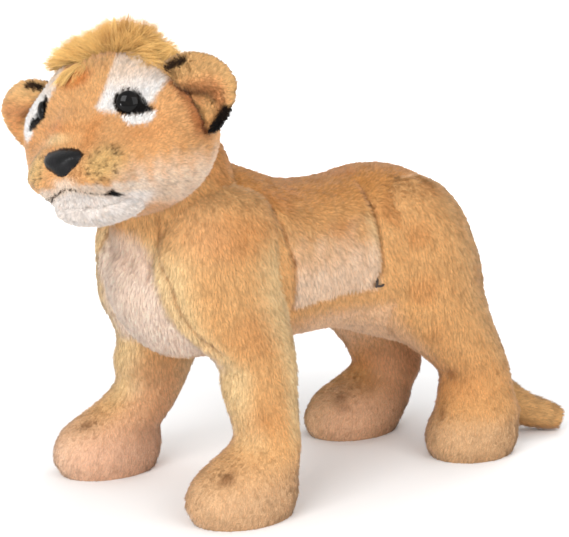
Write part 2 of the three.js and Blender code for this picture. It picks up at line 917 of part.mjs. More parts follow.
// Slot in the tail's root for the spine wire's end, as the tail lifts round it
function tailSlot() {
  const side = wireRadius + channelGap + gap;
  const reach = eyeletRadius + side;
  const points = [];
  for (const swing of [0, tailLiftAngle * half, tailLiftAngle]) {
    for (const x of [-side, side]) {
      for (const [y, z] of [[-tailRootBore, -side], [-tailRootBore, side], [reach, -reach], [reach, reach]]) {
        const spin = turnAbout(tailPoint, alongX, -swing);
        points.push(tailPoint.clone().add(vec(x, y, z)).applyMatrix4(spin));
      }
    }
  }
  return tidied(new ConvexGeometry(points));
}

const group = new THREE.Group();

function add(name, geometry, look) {
  const mesh = new THREE.Mesh(geometry, look);
  mesh.name = name;
  group.add(mesh);
}

function addLeg(leg) {
  const form = within(legForm(leg), legSide(leg));
  const pocket = soleForm(leg, gap, -overrun, soleThickness + gap);
  const cuts = [pocket, legWire(leg, channelGap), crossBar(leg, channelGap)];
  add(`leg_${leg.name}`, without(form, ...cuts), plush());
  add(`sole_${leg.name}`, soleForm(leg, 0, 0, soleThickness), soleSuede());
  add(`wire_${leg.name}`, legWire(leg, 0), coatedWire());
}

function addTorso() {
  const form = joined([barrelForm(), neckBall(neckRadius), neckStump()]);
  const seats = [...legs.map(legSeat), tailSeat(), neckWireRoom()];
  const wires = [spineWire(channelGap), crossBar(legs[0], channelGap), crossBar(legs[2], channelGap)];
  add('torso', without(form, ...seats, ...wires), plush());
  add('spine_wire', spineWire(0), coatedWire());
  add('shoulder_bar', crossBar(legs[0], 0), coatedWire());
  add('hip_bar', crossBar(legs[2], 0), coatedWire());
}

function addHead() {
  const eyes = [1, -1].flatMap((side) => [eyeRoom(), washerPocket()].map(
    (room) => onHead(room, eyeMatrix(side)),
  ));
  const nose = [noseForm(trimGap), washerPocket()].map((room) => onHead(room, noseMatrix()));
  const neck = [neckBall(neckRadius + neckBallGap), collarRoom(), neckWire(channelGap)];
  add('head', without(onHead(headForm()), ...neck, ...eyes, ...nose), plush());
  add('neck_wire', neckWire(0), coatedWire());
  add('chin', onHead(without(chinForm(), headForm(gap))), palePlush());
  const ears = [1, -1].map((side) => moved(earSwingRoom(side), earMatrix(side)));
  add('mane', onHead(without(maneForm(), headForm(gap), ...ears)), manePlush());
  add('nose', onHead(noseForm(0), noseMatrix()), nosePlastic());
  add('washer_nose', onHead(washerForm(), noseMatrix()), washerPlastic());
}

function addEye(name, side) {
  add(`eye_${name}`, onHead(eyeForm(), eyeMatrix(side)), eyePlastic());
  add(`washer_eye_${name}`, onHead(washerForm(), eyeMatrix(side)), washerPlastic());
}

function addEar(name, side) {
  const leaf = without(earForm(side), ...earFoldRoom(side));
  const place = (geometry) => onHead(geometry, earMatrix(side));
  const marks = [true, false].map((high) => earMarkRoom(side, high, gap));
  add(`ear_${name}`, place(without(leaf, ...marks)), plush());
  add(`ear_mark_top_${name}`, place(within(leaf, earMarkRoom(side, true, 0))), blackPlush());
  add(`ear_mark_low_${name}`, place(within(leaf, earMarkRoom(side, false, 0))), blackPlush());
}

function addTail() {
  add('tail', without(tailForm(), tailWire(channelGap), tailSlot()), plush());
  add('wire_tail', tailWire(0), coatedWire());
}

legs.forEach(addLeg);
addTorso();
addHead();
for (const [name, side] of [['left', 1], ['right', -1]]) {
  addEye(name, side);
  addEar(name, side);
}
addTail();

// The origin is the middle of the ground under the whole cub
const bounds = new THREE.Box3().setFromObject(group);
const centre = bounds.getCenter(vec(0, 0, 0));
group.position.set(-centre.x, -centre.y, -bounds.min.z);

export default group;
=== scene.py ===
# %% [markdown]
# # A standing stuffed lion cub, dressed in plush
#
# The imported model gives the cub's frame: where each stuffed form lies and what it moves with.
# This lesson sews the skins over those forms and grows the plush on them, blade by blade.
# Shapes are worked out in millimetres, in the frame of the cub's pattern, and placed in metres.

# %% Load the frame
import json
import math
import bpy
import numpy as np
from mathutils import Matrix, Vector
from mathutils.bvhtree import BVHTree
from mathutils.kdtree import KDTree


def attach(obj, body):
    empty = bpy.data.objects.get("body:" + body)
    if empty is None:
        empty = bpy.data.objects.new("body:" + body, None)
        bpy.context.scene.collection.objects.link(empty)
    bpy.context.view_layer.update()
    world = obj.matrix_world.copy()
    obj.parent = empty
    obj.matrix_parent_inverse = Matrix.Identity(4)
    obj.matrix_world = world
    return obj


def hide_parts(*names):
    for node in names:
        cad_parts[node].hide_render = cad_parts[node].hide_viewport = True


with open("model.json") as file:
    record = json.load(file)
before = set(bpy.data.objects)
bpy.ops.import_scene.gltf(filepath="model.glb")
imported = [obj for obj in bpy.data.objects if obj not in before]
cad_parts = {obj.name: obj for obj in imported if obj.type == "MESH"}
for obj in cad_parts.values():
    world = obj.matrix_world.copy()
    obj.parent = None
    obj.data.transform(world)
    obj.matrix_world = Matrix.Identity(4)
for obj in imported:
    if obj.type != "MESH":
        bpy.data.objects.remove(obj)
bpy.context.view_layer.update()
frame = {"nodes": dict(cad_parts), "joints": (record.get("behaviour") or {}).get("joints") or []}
joints = {joint["name"]: joint for joint in frame["joints"]}
neck_point = np.array([0.0, -66.0, 298.0])
SHIFT = np.array(joints["head_turn"]["pos_m"]) * 1000 - neck_point

# %% [markdown]
# ## Node maths
#
# A socket is wrapped once, and can then be multiplied and subtracted as a number can, as in 1 - mask.
# Colours and vectors go through Mix and Vector Math, numbers through Math. A mix of colours has
# its factor at input 0, its two colours at inputs 6 and 7, and its result at output 2.

# %% Sockets that do sums
class Shade:
    """A socket of a material's node tree that can be used in sums."""

    def __init__(self, tree, socket):
        self.tree = tree
        self.socket = socket

    def node(self, kind, inputs=(), out=0, **settings):
        """Makes any node, fills its inputs, and returns one of its outputs."""
        made = self.tree.nodes.new(kind)
        for name, value in settings.items():
            setattr(made, name, value)
        for key, value in dict(inputs).items():
            if isinstance(value, Shade):
                self.tree.links.new(value.socket, made.inputs[key])
            else:
                made.inputs[key].default_value = value
        return Shade(self.tree, made.outputs[out])

    def math(self, operation, *values):
        return self.node("ShaderNodeMath", dict(enumerate(values)), operation=operation)

    def __mul__(self, other):
        return self.math("MULTIPLY", self, other)

    __rmul__ = __mul__

    def __sub__(self, other):
        return self.math("SUBTRACT", self, other)

    def __rsub__(self, other):
        return self.math("SUBTRACT", other, self)

    def grey(self):
        """This number as a colour with three equal parts."""
        return self.node("ShaderNodeCombineColor", {0: self, 1: self, 2: self})

    def scaled(self, vector):
        """This vector times another, part by part."""
        return self.node("ShaderNodeVectorMath", {0: self, 1: vector}, operation="MULTIPLY")

    def tinted(self, factor, colour, blend="MIX"):
        """This colour mixed with another by a factor."""
        inputs = {0: factor, 6: self, 7: colour}
        return self.node("ShaderNodeMix", inputs, out=2, data_type="RGBA", blend_type=blend)

    def between(self, first, second):
        """Two colours mixed by this number."""
        inputs = {0: self, 6: first, 7: second}
        return self.node("ShaderNodeMix", inputs, out=2, data_type="RGBA")

    def ramp(self, low, high, start=0.0, end=1.0):
        """This number spread from low..high to start..end, and kept there."""
        inputs = {0: self, 1: low, 2: high, 3: start, 4: end}
        return self.node("ShaderNodeMapRange", inputs, interpolation_type="SMOOTHSTEP")

    def noise(self, scale, detail):
        return self.node("ShaderNodeTexNoise", {"Vector": self, "Scale": scale, "Detail": detail})

    def cells(self, scale):
        return self.node("ShaderNodeTexVoronoi", {"Vector": self, "Scale": scale})

    def bumped(self, strength, distance):
        inputs = {"Height": self, "Strength": strength, "Distance": distance}
        return self.node("ShaderNodeBump", inputs)


def linear(red, green, blue):
    """A colour written as it looks on a screen, from 0 to 255, as the shader wants it."""
    parts = np.array([red, green, blue]) / 255
    low, high = parts / 12.92, ((parts + 0.055) / 1.055) ** 2.4
    return (*np.where(parts < 0.04045, low, high), 1.0)


def new_material(name, paint, **constants):
    """A material whose paint function gets the place in metres and the shader's inputs."""
    made = bpy.data.materials.new(name)
    made.use_nodes = True
    tree = made.node_tree
    shader = tree.nodes["Principled BSDF"]
    for key, value in constants.items():
        shader.inputs[key.replace("_", " ")].default_value = value
    start = Shade(tree, None)
    place = start.node("ShaderNodeTexCoord", out="Object")
    for key, value in paint(place).items():
        tree.links.new(value.socket, shader.inputs[key])
    return made


print("tan as the shader wants it:", np.round(linear(230, 174, 115), 3))

# %% [markdown]
# ## Materials
#
# The plush takes its colour zones from the paint that each blade carries.
# Noise on three scales adds the pile's streaks, the brushed patches and the slight dirtiness of cloth.

# %% Plush, plastic, suede and wire
def plush_paint(place):
    paint = place.node("ShaderNodeAttribute", attribute_name="paint")
    strand = place.noise(scale=700.0, detail=1.0)
    patch = place.noise(scale=60.0, detail=3.0)
    wide = place.noise(scale=14.0, detail=2.0)
    tone = strand.ramp(0.3, 0.7, 0.93, 1.06) * patch.ramp(0.3, 0.7, 0.95, 1.04)
    colour = paint.tinted(1.0, tone.grey(), "MULTIPLY")
    colour = colour.tinted(wide.ramp(0.45, 0.75, 0.0, 0.10), linear(206, 142, 84))
    return {"Base Color": colour, "Roughness": patch.ramp(0.2, 0.8, 0.86, 1.0)}


def skin_paint(place):
    paint = place.node("ShaderNodeAttribute", attribute_name="paint")
    knit = place.cells(1100.0)
    # The knit's cells vary the backing's tone, all of them darker than its paint, as painted shade deep in
    # the pile.
    tone = knit.ramp(0.0, 0.6, 0.72, 0.90)
    colour = paint.tinted(1.0, tone.grey(), "MULTIPLY")
    return {"Base Color": colour, "Normal": knit.bumped(strength=0.5, distance=0.0006)}


def eye_paint(place):
    cloud = place.noise(scale=240.0, detail=3.0)
    colour = cloud.ramp(0.4, 0.7).between(linear(9, 8, 8), linear(16, 13, 11))
    return {"Base Color": colour, "Roughness": cloud.ramp(0.3, 0.7, 0.05, 0.11)}


def nose_paint(place):
    pebble = place.cells(620.0)
    cloud = place.noise(scale=90.0, detail=3.0)
    colour = cloud.ramp(0.4, 0.7).between(linear(12, 12, 13), linear(22, 21, 23))
    rough = cloud.ramp(0.3, 0.7, 0.30, 0.42)
    return {"Base Color": colour, "Roughness": rough, "Normal": pebble.bumped(strength=0.35, distance=0.0005)}


def thread_paint(place):
    twist = place.noise(scale=1500.0, detail=1.0)
    colour = twist.ramp(0.4, 0.7).between(linear(44, 36, 30), linear(84, 70, 58))
    return {"Base Color": colour, "Normal": twist.bumped(strength=0.6, distance=0.0004)}


def suede_paint(place):
    nap = place.noise(scale=700.0, detail=4.0)
    worn = place.noise(scale=40.0, detail=3.0)
    colour = worn.ramp(0.4, 0.7).between(linear(188, 142, 102), linear(206, 166, 128))
    return {"Base Color": colour, "Normal": nap.bumped(strength=0.7, distance=0.0006)}


def wire_paint(place):
    drawn = place.scaled((1.0, 1.0, 9.0)).noise(scale=500.0, detail=2.0)
    colour = drawn.ramp(0.4, 0.6).between(linear(176, 178, 176), linear(150, 150, 148))
    return {"Base Color": colour, "Roughness": drawn.ramp(0.3, 0.7, 0.35, 0.5)}


materials = {
    "plush": new_material("plush_pile", plush_paint, Specular_IOR_Level=0.1, Sheen_Weight=0.20,
                          Sheen_Roughness=0.35),
    "skin": new_material("plush_backing", skin_paint, Roughness=0.95, Specular_IOR_Level=0.1),
    "eye": new_material("eye_gloss", eye_paint, Specular_IOR_Level=0.16),
    "nose": new_material("nose_satin", nose_paint, Specular_IOR_Level=0.18),
    "thread": new_material("thread_black", thread_paint, Roughness=0.8),
    "suede": new_material("sole_suede", suede_paint, Roughness=0.95, Sheen_Weight=0.2),
    "wire": new_material("wire_coating", wire_paint, Metallic=0.2),
}
print("materials:", sorted(materials))

# %% [markdown]
# ## Forms
#
# A form is a closed skin, swept through a table of sections, the same tables that the pattern uses.
# It knows its points, its faces and the direction that each point faces.

# %% The pattern's tables of shares
torso_shares = [
    [0.000, 0.72, 0.90, 0.54], [0.070, 0.84, 0.96, 0.49], [0.150, 0.94, 1.02, 0.47],
    [0.260, 0.99, 1.08, 0.47], [0.350, 0.97, 1.045, 0.48], [0.450, 0.93, 0.995, 0.485],
    [0.580, 0.93, 0.985, 0.485], [0.710, 0.96, 1.005, 0.435], [0.820, 0.96, 0.990, 0.395],
    [0.910, 0.88, 0.940, 0.41], [1.000, 0.74, 0.860, 0.50],
]
front_leg_shares = [
    [1.000, 0.00, 0.10, 0.58, 0.12], [0.960, 0.00, 0.32, 0.58, 0.34],
    [0.860, 0.00, 0.46, 0.58, 0.46], [0.770, 0.00, 0.50, 0.58, 0.50],
    [0.650, 0.01, 0.46, 0.64, 0.48], [0.540, 0.085, 0.395, 0.76, 0.42],
    [0.420, 0.155, 0.310, 0.87, 0.365], [0.310, 0.185, 0.250, 0.95, 0.355],
    [0.220, 0.125, 0.295, 0.99, 0.390], [0.130, 0.00, 0.400, 1.00, 0.445],
    [0.060, -0.03, 0.430, 1.00, 0.460], [0.000, -0.02, 0.375, 1.00, 0.405],
]
hind_leg_shares = [
    [1.000, -0.07, 0.10, 0.50, 0.12], [0.955, -0.07, 0.28, 0.50, 0.30],
    [0.850, -0.05, 0.415, 0.50, 0.44], [0.725, -0.02, 0.475, 0.50, 0.49],
    [0.600, 0.04, 0.445, 0.60, 0.44], [0.490, 0.15, 0.36, 0.82, 0.335],
    [0.390, 0.27, 0.285, 0.93, 0.285], [0.300, 0.33, 0.240, 0.98, 0.270],
    [0.215, 0.28, 0.260, 1.00, 0.290], [0.125, 0.20, 0.310, 1.00, 0.325],
    [0.055, 0.18, 0.325, 1.00, 0.335], [0.000, 0.18, 0.285, 1.00, 0.295],
]
bent_leg_shares = [
    *hind_leg_shares[:3], [0.725, -0.03, 0.475, 0.50, 0.49],
    [0.600, 0.02, 0.445, 0.60, 0.44], [0.490, 0.10, 0.385, 0.82, 0.345],
    [0.390, 0.215, 0.310, 0.93, 0.300], [0.300, 0.345, 0.262, 0.98, 0.275],
    [0.215, 0.430, 0.245, 1.00, 0.290], [0.125, 0.315, 0.370, 1.00, 0.325],
    [0.055, 0.250, 0.365, 1.00, 0.335], [0.000, 0.240, 0.315, 1.00, 0.295],
]
head_shares = [
    [0.000, -0.195, 0.48, 0.125, 0.13], [0.080, -0.190, 0.57, 0.17, 0.14],
    [0.175, -0.185, 0.65, 0.28, 0.17], [0.270, -0.160, 0.80, 0.47, 0.24],
    [0.390, -0.100, 0.94, 0.53, 0.36], [0.550, -0.050, 1.00, 0.52, 0.43],
    [0.720, -0.020, 0.89, 0.48, 0.37], [0.870, 0.000, 0.70, 0.41, 0.29],
    [1.000, 0.010, 0.52, 0.33, 0.22],
]
head_bump_shares = [
    [0.28, 0.045, -0.24, 0.14, 0.050], [0.00, 0.180, 0.05, 0.13, 0.030], [0.52, 0.235, 0.13, 0.12, -0.035],
    [0.40, 0.330, 0.38, 0.15, 0.030], [0.72, 0.300, 0.12, 0.16, 0.032],
    [0.88, 0.400, -0.16, 0.24, 0.045],
]
tail_shares = [
    [0.000, 0.000, 0.000, 0.90], [0.000, 0.090, 0.140, 1.00], [0.010, 0.135, 0.400, 0.98],
    [0.045, 0.180, 0.620, 0.96], [0.130, 0.285, 0.745, 0.90], [0.200, 0.385, 0.788, 0.72],
    [0.235, 0.445, 0.803, 0.50],
]
print("rows from chest to rump:", len(torso_shares), "rows down a leg:", len(front_leg_shares))


def row_at(table, share):
    """Rows of a table at shares from 0 to 1, on a smooth curve through its rows."""
    table = np.asarray(table)
    last = len(table) - 1
    place = np.clip(np.atleast_1d(share), 0, 1) * last
    index = np.minimum(place.astype(int), last - 1)
    f = (place - index)[:, None]
    before, here = table[np.maximum(index - 1, 0)], table[index]
    there, after = table[index + 1], table[np.minimum(index + 2, last)]
    leave, arrive = (there - before) / 2, (after - here) / 2
    rise = 3 * (there - here) - 2 * leave - arrive
    settle = 2 * (here - there) + leave + arrive
    return (here + leave * f + rise * f ** 2 + settle * f ** 3).T


def round_end(distance, radius):
    """How open a form is near its end: it closes as a quarter of a circle does."""
    share = np.clip(distance / radius, 0, 1)
    return np.maximum(np.sqrt(1 - (1 - share) ** 2), 0.02)


def step(low, high, value):
    """From 0 at low to 1 at high, smoothly."""
    share = np.clip((value - low) / (high - low), 0, 1)
    return share * share * (3 - 2 * share)


def unit(vectors):
    return vectors / np.maximum(np.linalg.norm(vectors, axis=-1, keepdims=True), 1e-9)


class Form:
    """A closed skin in millimetres."""

    def __init__(self, points, faces):
        self.points = np.asarray(points, float)
        self.faces = [tuple(face) for face in faces]
        fans = [(face[0], face[k], face[k + 1]) for face in self.faces for k in range(1, len(face) - 1)]
        self.triangles = np.array(fans)
        if self.volume() < 0:
            self.faces = [face[::-1] for face in self.faces]
            self.triangles = self.triangles[:, ::-1]
        self.settle()

    def volume(self):
        a, b, c = (self.points[self.triangles[:, k]] for k in range(3))
        return (a * np.cross(b, c)).sum() / 6

    def settle(self):
        """Works out the direction each point faces, and the tree that finds the nearest face."""
        a, b, c = (self.points[self.triangles[:, k]] for k in range(3))
        normal = np.cross(b - a, c - a)
        total = np.zeros_like(self.points)
        for k in range(3):
            np.add.at(total, self.triangles[:, k], normal)
        self.normals = unit(total)
        self.tree = BVHTree.FromPolygons(self.points.tolist(), self.triangles.tolist())
        return self

    def distance(self, points):
        """How far outside this form each point lies; less than 0 is inside."""
        out = np.empty(len(points))
        for k, point in enumerate(points):
            near, normal, _, gap = self.tree.find_nearest(Vector(point))
            out[k] = gap if (Vector(point) - near).dot(normal) > 0 else -gap
        return out

    def moved(self, matrix):
        matrix = np.asarray(matrix)
        return Form(self.points @ matrix[:3, :3].T + matrix[:3, 3], self.faces)


def swept(rings, sides, point_at, crowd=False):
    """A closed skin from rings of points, with a middle point closing each end.

    Crowded rings lie closer together towards the ends.
    """
    share = np.linspace(0, 1, rings + 1)
    share = (1 - np.cos(np.pi * share)) / 2 if crowd else share
    angle = np.arange(sides) * 2 * math.pi / sides
    grid_share, grid_angle = np.repeat(share, sides), np.tile(angle, rings + 1)
    points = point_at(grid_share, grid_angle)
    first, last = points[:sides].mean(0), points[-sides:].mean(0)
    faces = []
    for i in range(rings):
        for j in range(sides):
            k = (j + 1) % sides
            faces.append((i * sides + j, (i + 1) * sides + j, (i + 1) * sides + k, i * sides + k))
    low, high = len(points), len(points) + 1
    for j in range(sides):
        k = (j + 1) % sides
        faces.append((low, j, k))
        faces.append((high, rings * sides + k, rings * sides + j))
    return Form(np.vstack([points, first, last]), faces)


def ellipsoid(centre, radii):
    """A ball stretched to three radii."""
    def point_at(share, angle):
        open_ = np.maximum(np.sin(share * math.pi), 0.01)
        ball = np.stack([open_ * np.cos(angle), open_ * np.sin(angle), -np.cos(share * math.pi)], 1)
        return ball * radii + centre
    return swept(40, 56, point_at)


def melted(forms, voxel, rounds):
    """Several forms melted into one skin, with soft valleys where they met."""
    points, faces = [], []
    for form in forms:
        first = sum(len(part) for part in points)
        faces += [tuple(first + k for k in face) for face in form.faces]
        points.append(form.points)
    mesh = bpy.data.meshes.new("melting")
    mesh.from_pydata(np.vstack(points).tolist(), [], faces)
    body = bpy.data.objects.new("melting", mesh)
    bpy.context.scene.collection.objects.link(body)
    remesh = body.modifiers.new("remesh", "REMESH")
    remesh.mode, remesh.voxel_size = "VOXEL", voxel
    smooth = body.modifiers.new("smooth", "SMOOTH")
    smooth.iterations, smooth.factor = rounds, 0.5
    done = body.evaluated_get(bpy.context.evaluated_depsgraph_get()).to_mesh()
    co = np.empty(len(done.vertices) * 3)
    done.vertices.foreach_get("co", co)
    made = Form(co.reshape(-1, 3), [tuple(p.vertices) for p in done.polygons])
    bpy.data.objects.remove(body)
    bpy.data.meshes.remove(mesh)
    return made


def filleted(form, others, reach):
    """Swells a form towards its neighbours, so that the skins meet in a soft valley.

    The swelling grows towards the neighbour, and fades again over a short depth inside it.
    """
    fade_depth = 8
    push = np.zeros(len(form.points))
    reach = reach(form.points) if callable(reach) else np.full(len(form.points), reach)
    for other in others:
        away = other.distance(form.points)
        slope = other.distance(form.points + form.normals) - away
        outside = np.clip(1 - away / reach, 0, 1) ** 2
        inside = np.clip(1 + away / fade_depth, 0, 1)
        valley = np.clip(1.15 - slope, 0, 1)
        push = np.maximum(push, valley * reach / 4 * np.where(away > 0, outside, inside))
    form.points = form.points + form.normals * push[:, None]
    return form.settle()


# %% [markdown]
# The torso is a barrel, a ball for the neck and a stump between them, melted into one skin.
# A leg is swept down through its table, and takes its stride between the hinge and the ankle.

# %% Torso, neck and legs
back_height, torso_length, torso_width = 284.0, 388.0, 168.0
chest_front, chest_round, rump_round = -118, 60, 92
neck_radius, stump_radius, stump_back, stump_drop = 57.0, 72.0, 34, 78
shoulder, hip = np.array([0, -42.0, 226.0]), np.array([0, 188.0, 205.0])
ankle = 42


def barrel_at(share, angle):
    """The barrel from chest to rump, by its table of place, width, top and bottom."""
    spot, width, top, bottom = row_at(torso_shares, share)
    distance = spot * torso_length
    open_ = round_end(distance, chest_round) * round_end(torso_length - distance, rump_round)
    x = width * torso_width / 2 * open_ * np.cos(angle)
    z = (top + bottom) / 2 * back_height + (top - bottom) / 2 * back_height * open_ * np.sin(angle)
    return np.stack([x, distance + chest_front, z], 1)


def stump_at(share, angle):
    """The neck's stump runs down and back into the shoulders."""
    reach = neck_radius + (stump_radius - neck_radius) * share
    y = neck_point[1] + stump_back * share + reach * np.sin(angle)
    return np.stack([reach * np.cos(angle), y, neck_point[2] - stump_drop * share], 1)


# Each leg has its table, side, pivot, height, depth, width, stance, stride, splay, and the bows of
# its front: how far forward each goes (less than 0 is back), at which height, and how softly.
legs = {
    "front_left": (front_leg_shares, 1, shoulder, 292, 126, 84, 87, -2, 0,
                   [(-15, 138, 22), (-16, 63, 19)]),
    "front_right": (front_leg_shares, -1, shoulder, 292, 126, 84, 87, 29, 12,
                    [(12, 106, 22), (5, 175, 24)]),
    "hind_left": (hind_leg_shares, 1, hip, 277, 150, 116, 62, -30, 0, []),
    "hind_right": (bent_leg_shares, -1, hip, 277, 150, 116, 62, 32, 0, []),
}


def leg_at(leg):
    """Where a leg's skin lies, from the haunch at 0 to the sole at 1."""
    table, side, pivot, height, depth, width, stance, stride, splay, bows = leg

    def point_at(share, angle):
        high, back, deep, across, wide = row_at(table, share)
        z = high * height
        follow = np.clip((pivot[2] - z) / (pivot[2] - ankle), 0, 1) ** 4
        x = side * (across * stance + splay * follow) + wide * width * np.cos(angle)
        y = pivot[1] + back * depth - stride * follow + deep * depth * np.sin(angle)
        for bow, height_of_bow, reach in bows:
            y = y - bow * (0.5 - 0.5 * np.sin(angle)) * np.exp(-((z - height_of_bow) / reach) ** 2)
        return np.stack([x, y, z], 1)
    return point_at


neck_ball = ellipsoid(neck_point, np.full(3, neck_radius))
barrel, stump = swept(110, 90, barrel_at, crowd=True), swept(24, 72, stump_at)
torso = melted([barrel, neck_ball, stump], voxel=3.2, rounds=22)
leg_forms = {name: swept(84, 60, leg_at(leg)) for name, leg in legs.items()}
print("torso points:", len(torso.points))

# %% [markdown]
# The head is swept from muzzle to nape, and swells at brow, cheeks and muzzle. An ear is a dished leaf
# with a crease and a fold. Where a leg meets the body both skins swell into a soft valley,
# and then the sewn seams are pressed in.

# %% Head, chin, mane, ears and tail
yaw, roll = math.radians(25), math.radians(-10)
head_matrix = np.array(
    Matrix.Translation(neck_point) @ Matrix.Rotation(yaw, 4, "Z") @ Matrix.Rotation(roll, 4, "Y")
    @ Matrix.Translation((0, -42, 50))
)
head_length, head_width, head_height = 180.0, 166.0, 150.0
muzzle, muzzle_round, nape_round = -0.575 * head_length, 19, 66


def from_head(points):
    return points @ head_matrix[:3, :3].T + head_matrix[:3, 3]


def to_head(points):
    return (points - head_matrix[:3, 3]) @ head_matrix[:3, :3]


def head_at(share, angle):
    """The head by its table, then pushed out or in at each of its swellings, alike on both sides."""
    spot, middle, width, rise, drop = row_at(head_shares, share)
    distance = spot * head_length
    open_ = round_end(distance, muzzle_round) * round_end(head_length - distance, nape_round)
    reach = np.where(np.sin(angle) > 0, rise, drop)
    x = width * head_width / 2 * open_ * np.cos(angle)
    z = middle * head_height + reach * head_height * open_ * np.sin(angle)
    points = np.stack([x, muzzle + distance, z], 1)
    out = unit(points * (1, 0.5, 1))
    push = np.zeros(len(points))
    for side, along, height, size, lift in head_bump_shares:
        for mirror in (-1, 1):
            across = mirror * side * head_width / 2
            swelling = np.array([across, muzzle + along * head_length, height * head_height])
            gap = np.linalg.norm(points - swelling, axis=1) / (size * head_width)
            push += lift * head_height * np.exp(-gap ** 2)
    return points + out * push[:, None]


head = swept(110, 110, head_at, crowd=True)
chin_radii, chin_front, chin_height, chin_flat = (38.0, 33.0, 23.0), -96, -54, -62
chin = ellipsoid((0, chin_radii[1] + chin_front, chin_height), chin_radii)
head = filleted(head, [chin], reach=20)
chin = filleted(chin, [head], reach=16)
mane_middle, mane_radii = (0, 2, 44), (57.0, 30.0, 32.0)
mane = ellipsoid(mane_middle, mane_radii)


def line_gap(u, v, corners):
    """How far each place lies from a line through corners."""
    gap = np.full(len(u), 1e9)
    for (ax, ay), (bx, by) in zip(corners[:-1], corners[1:]):
        dx, dy = bx - ax, by - ay
        t = np.clip(((u - ax) * dx + (v - ay) * dy) / (dx * dx + dy * dy), 0, 1)
        gap = np.minimum(gap, np.hypot(u - ax - t * dx, v - ay - t * dy))
    return gap


ear_crease = [(-8, 17), (-2, 14), (5, 5), (9, -9), (10.5, -18), (14, -30)]
ear_fold = [(4, 8), (14, 5), (23, 0), (27, -7)]
ear_out, ear_half_width, ear_half_height, ear_half_thick, far_ear_droop = 12, 40, 37, 9, 0.14


def ear_form(side):
    """An ear in its own frame: u runs outward, v up, and its front is dished, creased and folded."""
    def point_at(share, angle):
        open_ = np.maximum(np.sin(share * math.pi), 0.01)
        a, c = open_ * np.cos(angle), open_ * np.sin(angle)
        b = -np.cos(share * math.pi)
        u = ear_out + ear_half_width * a * side
        v = ear_half_height * c * (1 - far_ear_droop * (side < 0) * step(0, 0.5, c))
        front = step(0.05, -0.25, b)
        edge = step(1.0, 0.72, np.hypot(a, c))
        dish = 7.5 * np.exp(-(((u - 22) / 17) ** 2 + ((v + 13) / 15) ** 2)) * edge
        groove = 7 * np.exp(-(line_gap(u, v, ear_crease) / 4.0) ** 2)
        under = 5 * np.exp(-(line_gap(u, v, ear_fold) / 3.2) ** 2) * edge
        above = np.clip((v - (9.5 - 0.36 * u)) / 9, 0, 1) * step(-2, 8, u)
        flap = 5.5 * above * np.exp(-((v - 14) / 14) ** 2) * edge
        y = ear_half_thick * b + front * (dish + groove + under - flap) - 3.5 * np.clip(c, 0, 1) ** 3
        lobe = np.clip((u - 22) / 40 - (v + 14) / 22, 0, 1)
        return np.stack([side * (u - 5 * lobe), y, v + 4 * lobe], 1)
    return swept(72, 84, point_at)


def ear_matrix(side):
    """Where an ear's frame stands in the head's: at its root, tipped out and turned a little."""
    return np.array(
        Matrix.Translation((side * 71, -18, 19)) @ Matrix.Rotation(math.radians(-side * 8), 4, "Y")
        @ Matrix.Rotation(math.radians(side * 4), 4, "Z")
    )


tail_length, tail_radius, tail_root = 250, 19, (0, 254, 214)


def tail_at(share, angle):
    """The tail follows its table back and down, and is round across its own direction."""
    across, back, down, thick = row_at(tail_shares, share)
    middle = np.stack([across, back, -down], 1) * tail_length + tail_root
    change = row_at(tail_shares, share + 0.02) - row_at(tail_shares, share - 0.02)
    ahead = unit(np.stack([change[0], change[1], -change[2]], 1))
    lift = unit(np.cross(ahead, (1.0, 0, 0)))
    aside = unit(np.cross(ahead, lift))
    radius = thick * tail_radius
    ends = round_end((1 - share) * tail_length, radius) * round_end(share * tail_length, radius)
    out = lift * np.cos(angle)[:, None] + aside * np.sin(angle)[:, None]
    return middle + (radius * ends)[:, None] * out


chest_seam = [(43, 274), (43, 246), (52, 232), (62, 218), (66, 198), (73, 178), (83, 154)]
throat_fold = [(39, 242), (34, 232), (33, 216)]
thigh_seam = [(130, 282), (123, 266), (121, 246), (120, 222), (120, 203), (112, 190)]
shoulder_seam = [(4, 277), (11, 252), (18, 222), (21, 196), (22, 178)]


def seams(points, width=3.2):
    """1 on the body's sewn seams and folds, and 0 away from them, alike on both sides."""
    x, y, z = np.abs(points[:, 0]), points[:, 1], points[:, 2]
    ahead, aside = step(-50, -62, y), step(18, 30, x)
    lines = ((chest_seam, x, ahead), (throat_fold, x, 0.6 * ahead),
             (thigh_seam, y, aside), (shoulder_seam, y, 0.7 * aside))
    grooves = [where * np.exp(-(line_gap(u, z, line) / width) ** 2) for line, u, where in lines]
    return np.max(grooves, 0)


def shaped(form, deep):
    """Lets the mouth lie back under the nose, and fills the temples beside the eyes."""
    x, y, z = form.points.T
    mouth = deep * np.exp(-((z + 46) / 11.0) ** 2) * step(-56, -90, y)
    temple = np.exp(-((z - 22) / 24.0) ** 2) * step(50, 66, np.abs(x)) * step(-10, -30, y)
    form.points = form.points + np.stack([np.sign(x) * 4.5 * temple - 0.007 * x * mouth, mouth, 0 * x], 1)
    form.settle()


shaped(head, deep=8.0)
below = np.minimum(chin.points[:, 2] - chin_flat, 0)
chin.points[:, 2] = np.maximum(chin.points[:, 2], chin_flat) + 0.78 * below
shaped(chin, deep=12.0)
head_world, chin_world, mane_world = (form.moved(head_matrix) for form in (head, chin, mane))
sides = {"left": 1, "right": -1}
ears = {name: ear_form(side).moved(head_matrix @ ear_matrix(side)) for name, side in sides.items()}
tail = swept(80, 40, tail_at)


def shoulder_reach(points):
    """How wide the soft valley between a front leg and the body is."""
    return 8 + 20 * step(225, 270, points[:, 2])


def hip_reach(points):
    z = points[:, 2]
    return 10 + 16 * step(215, 262, z) + 34 * step(178, 150, z)


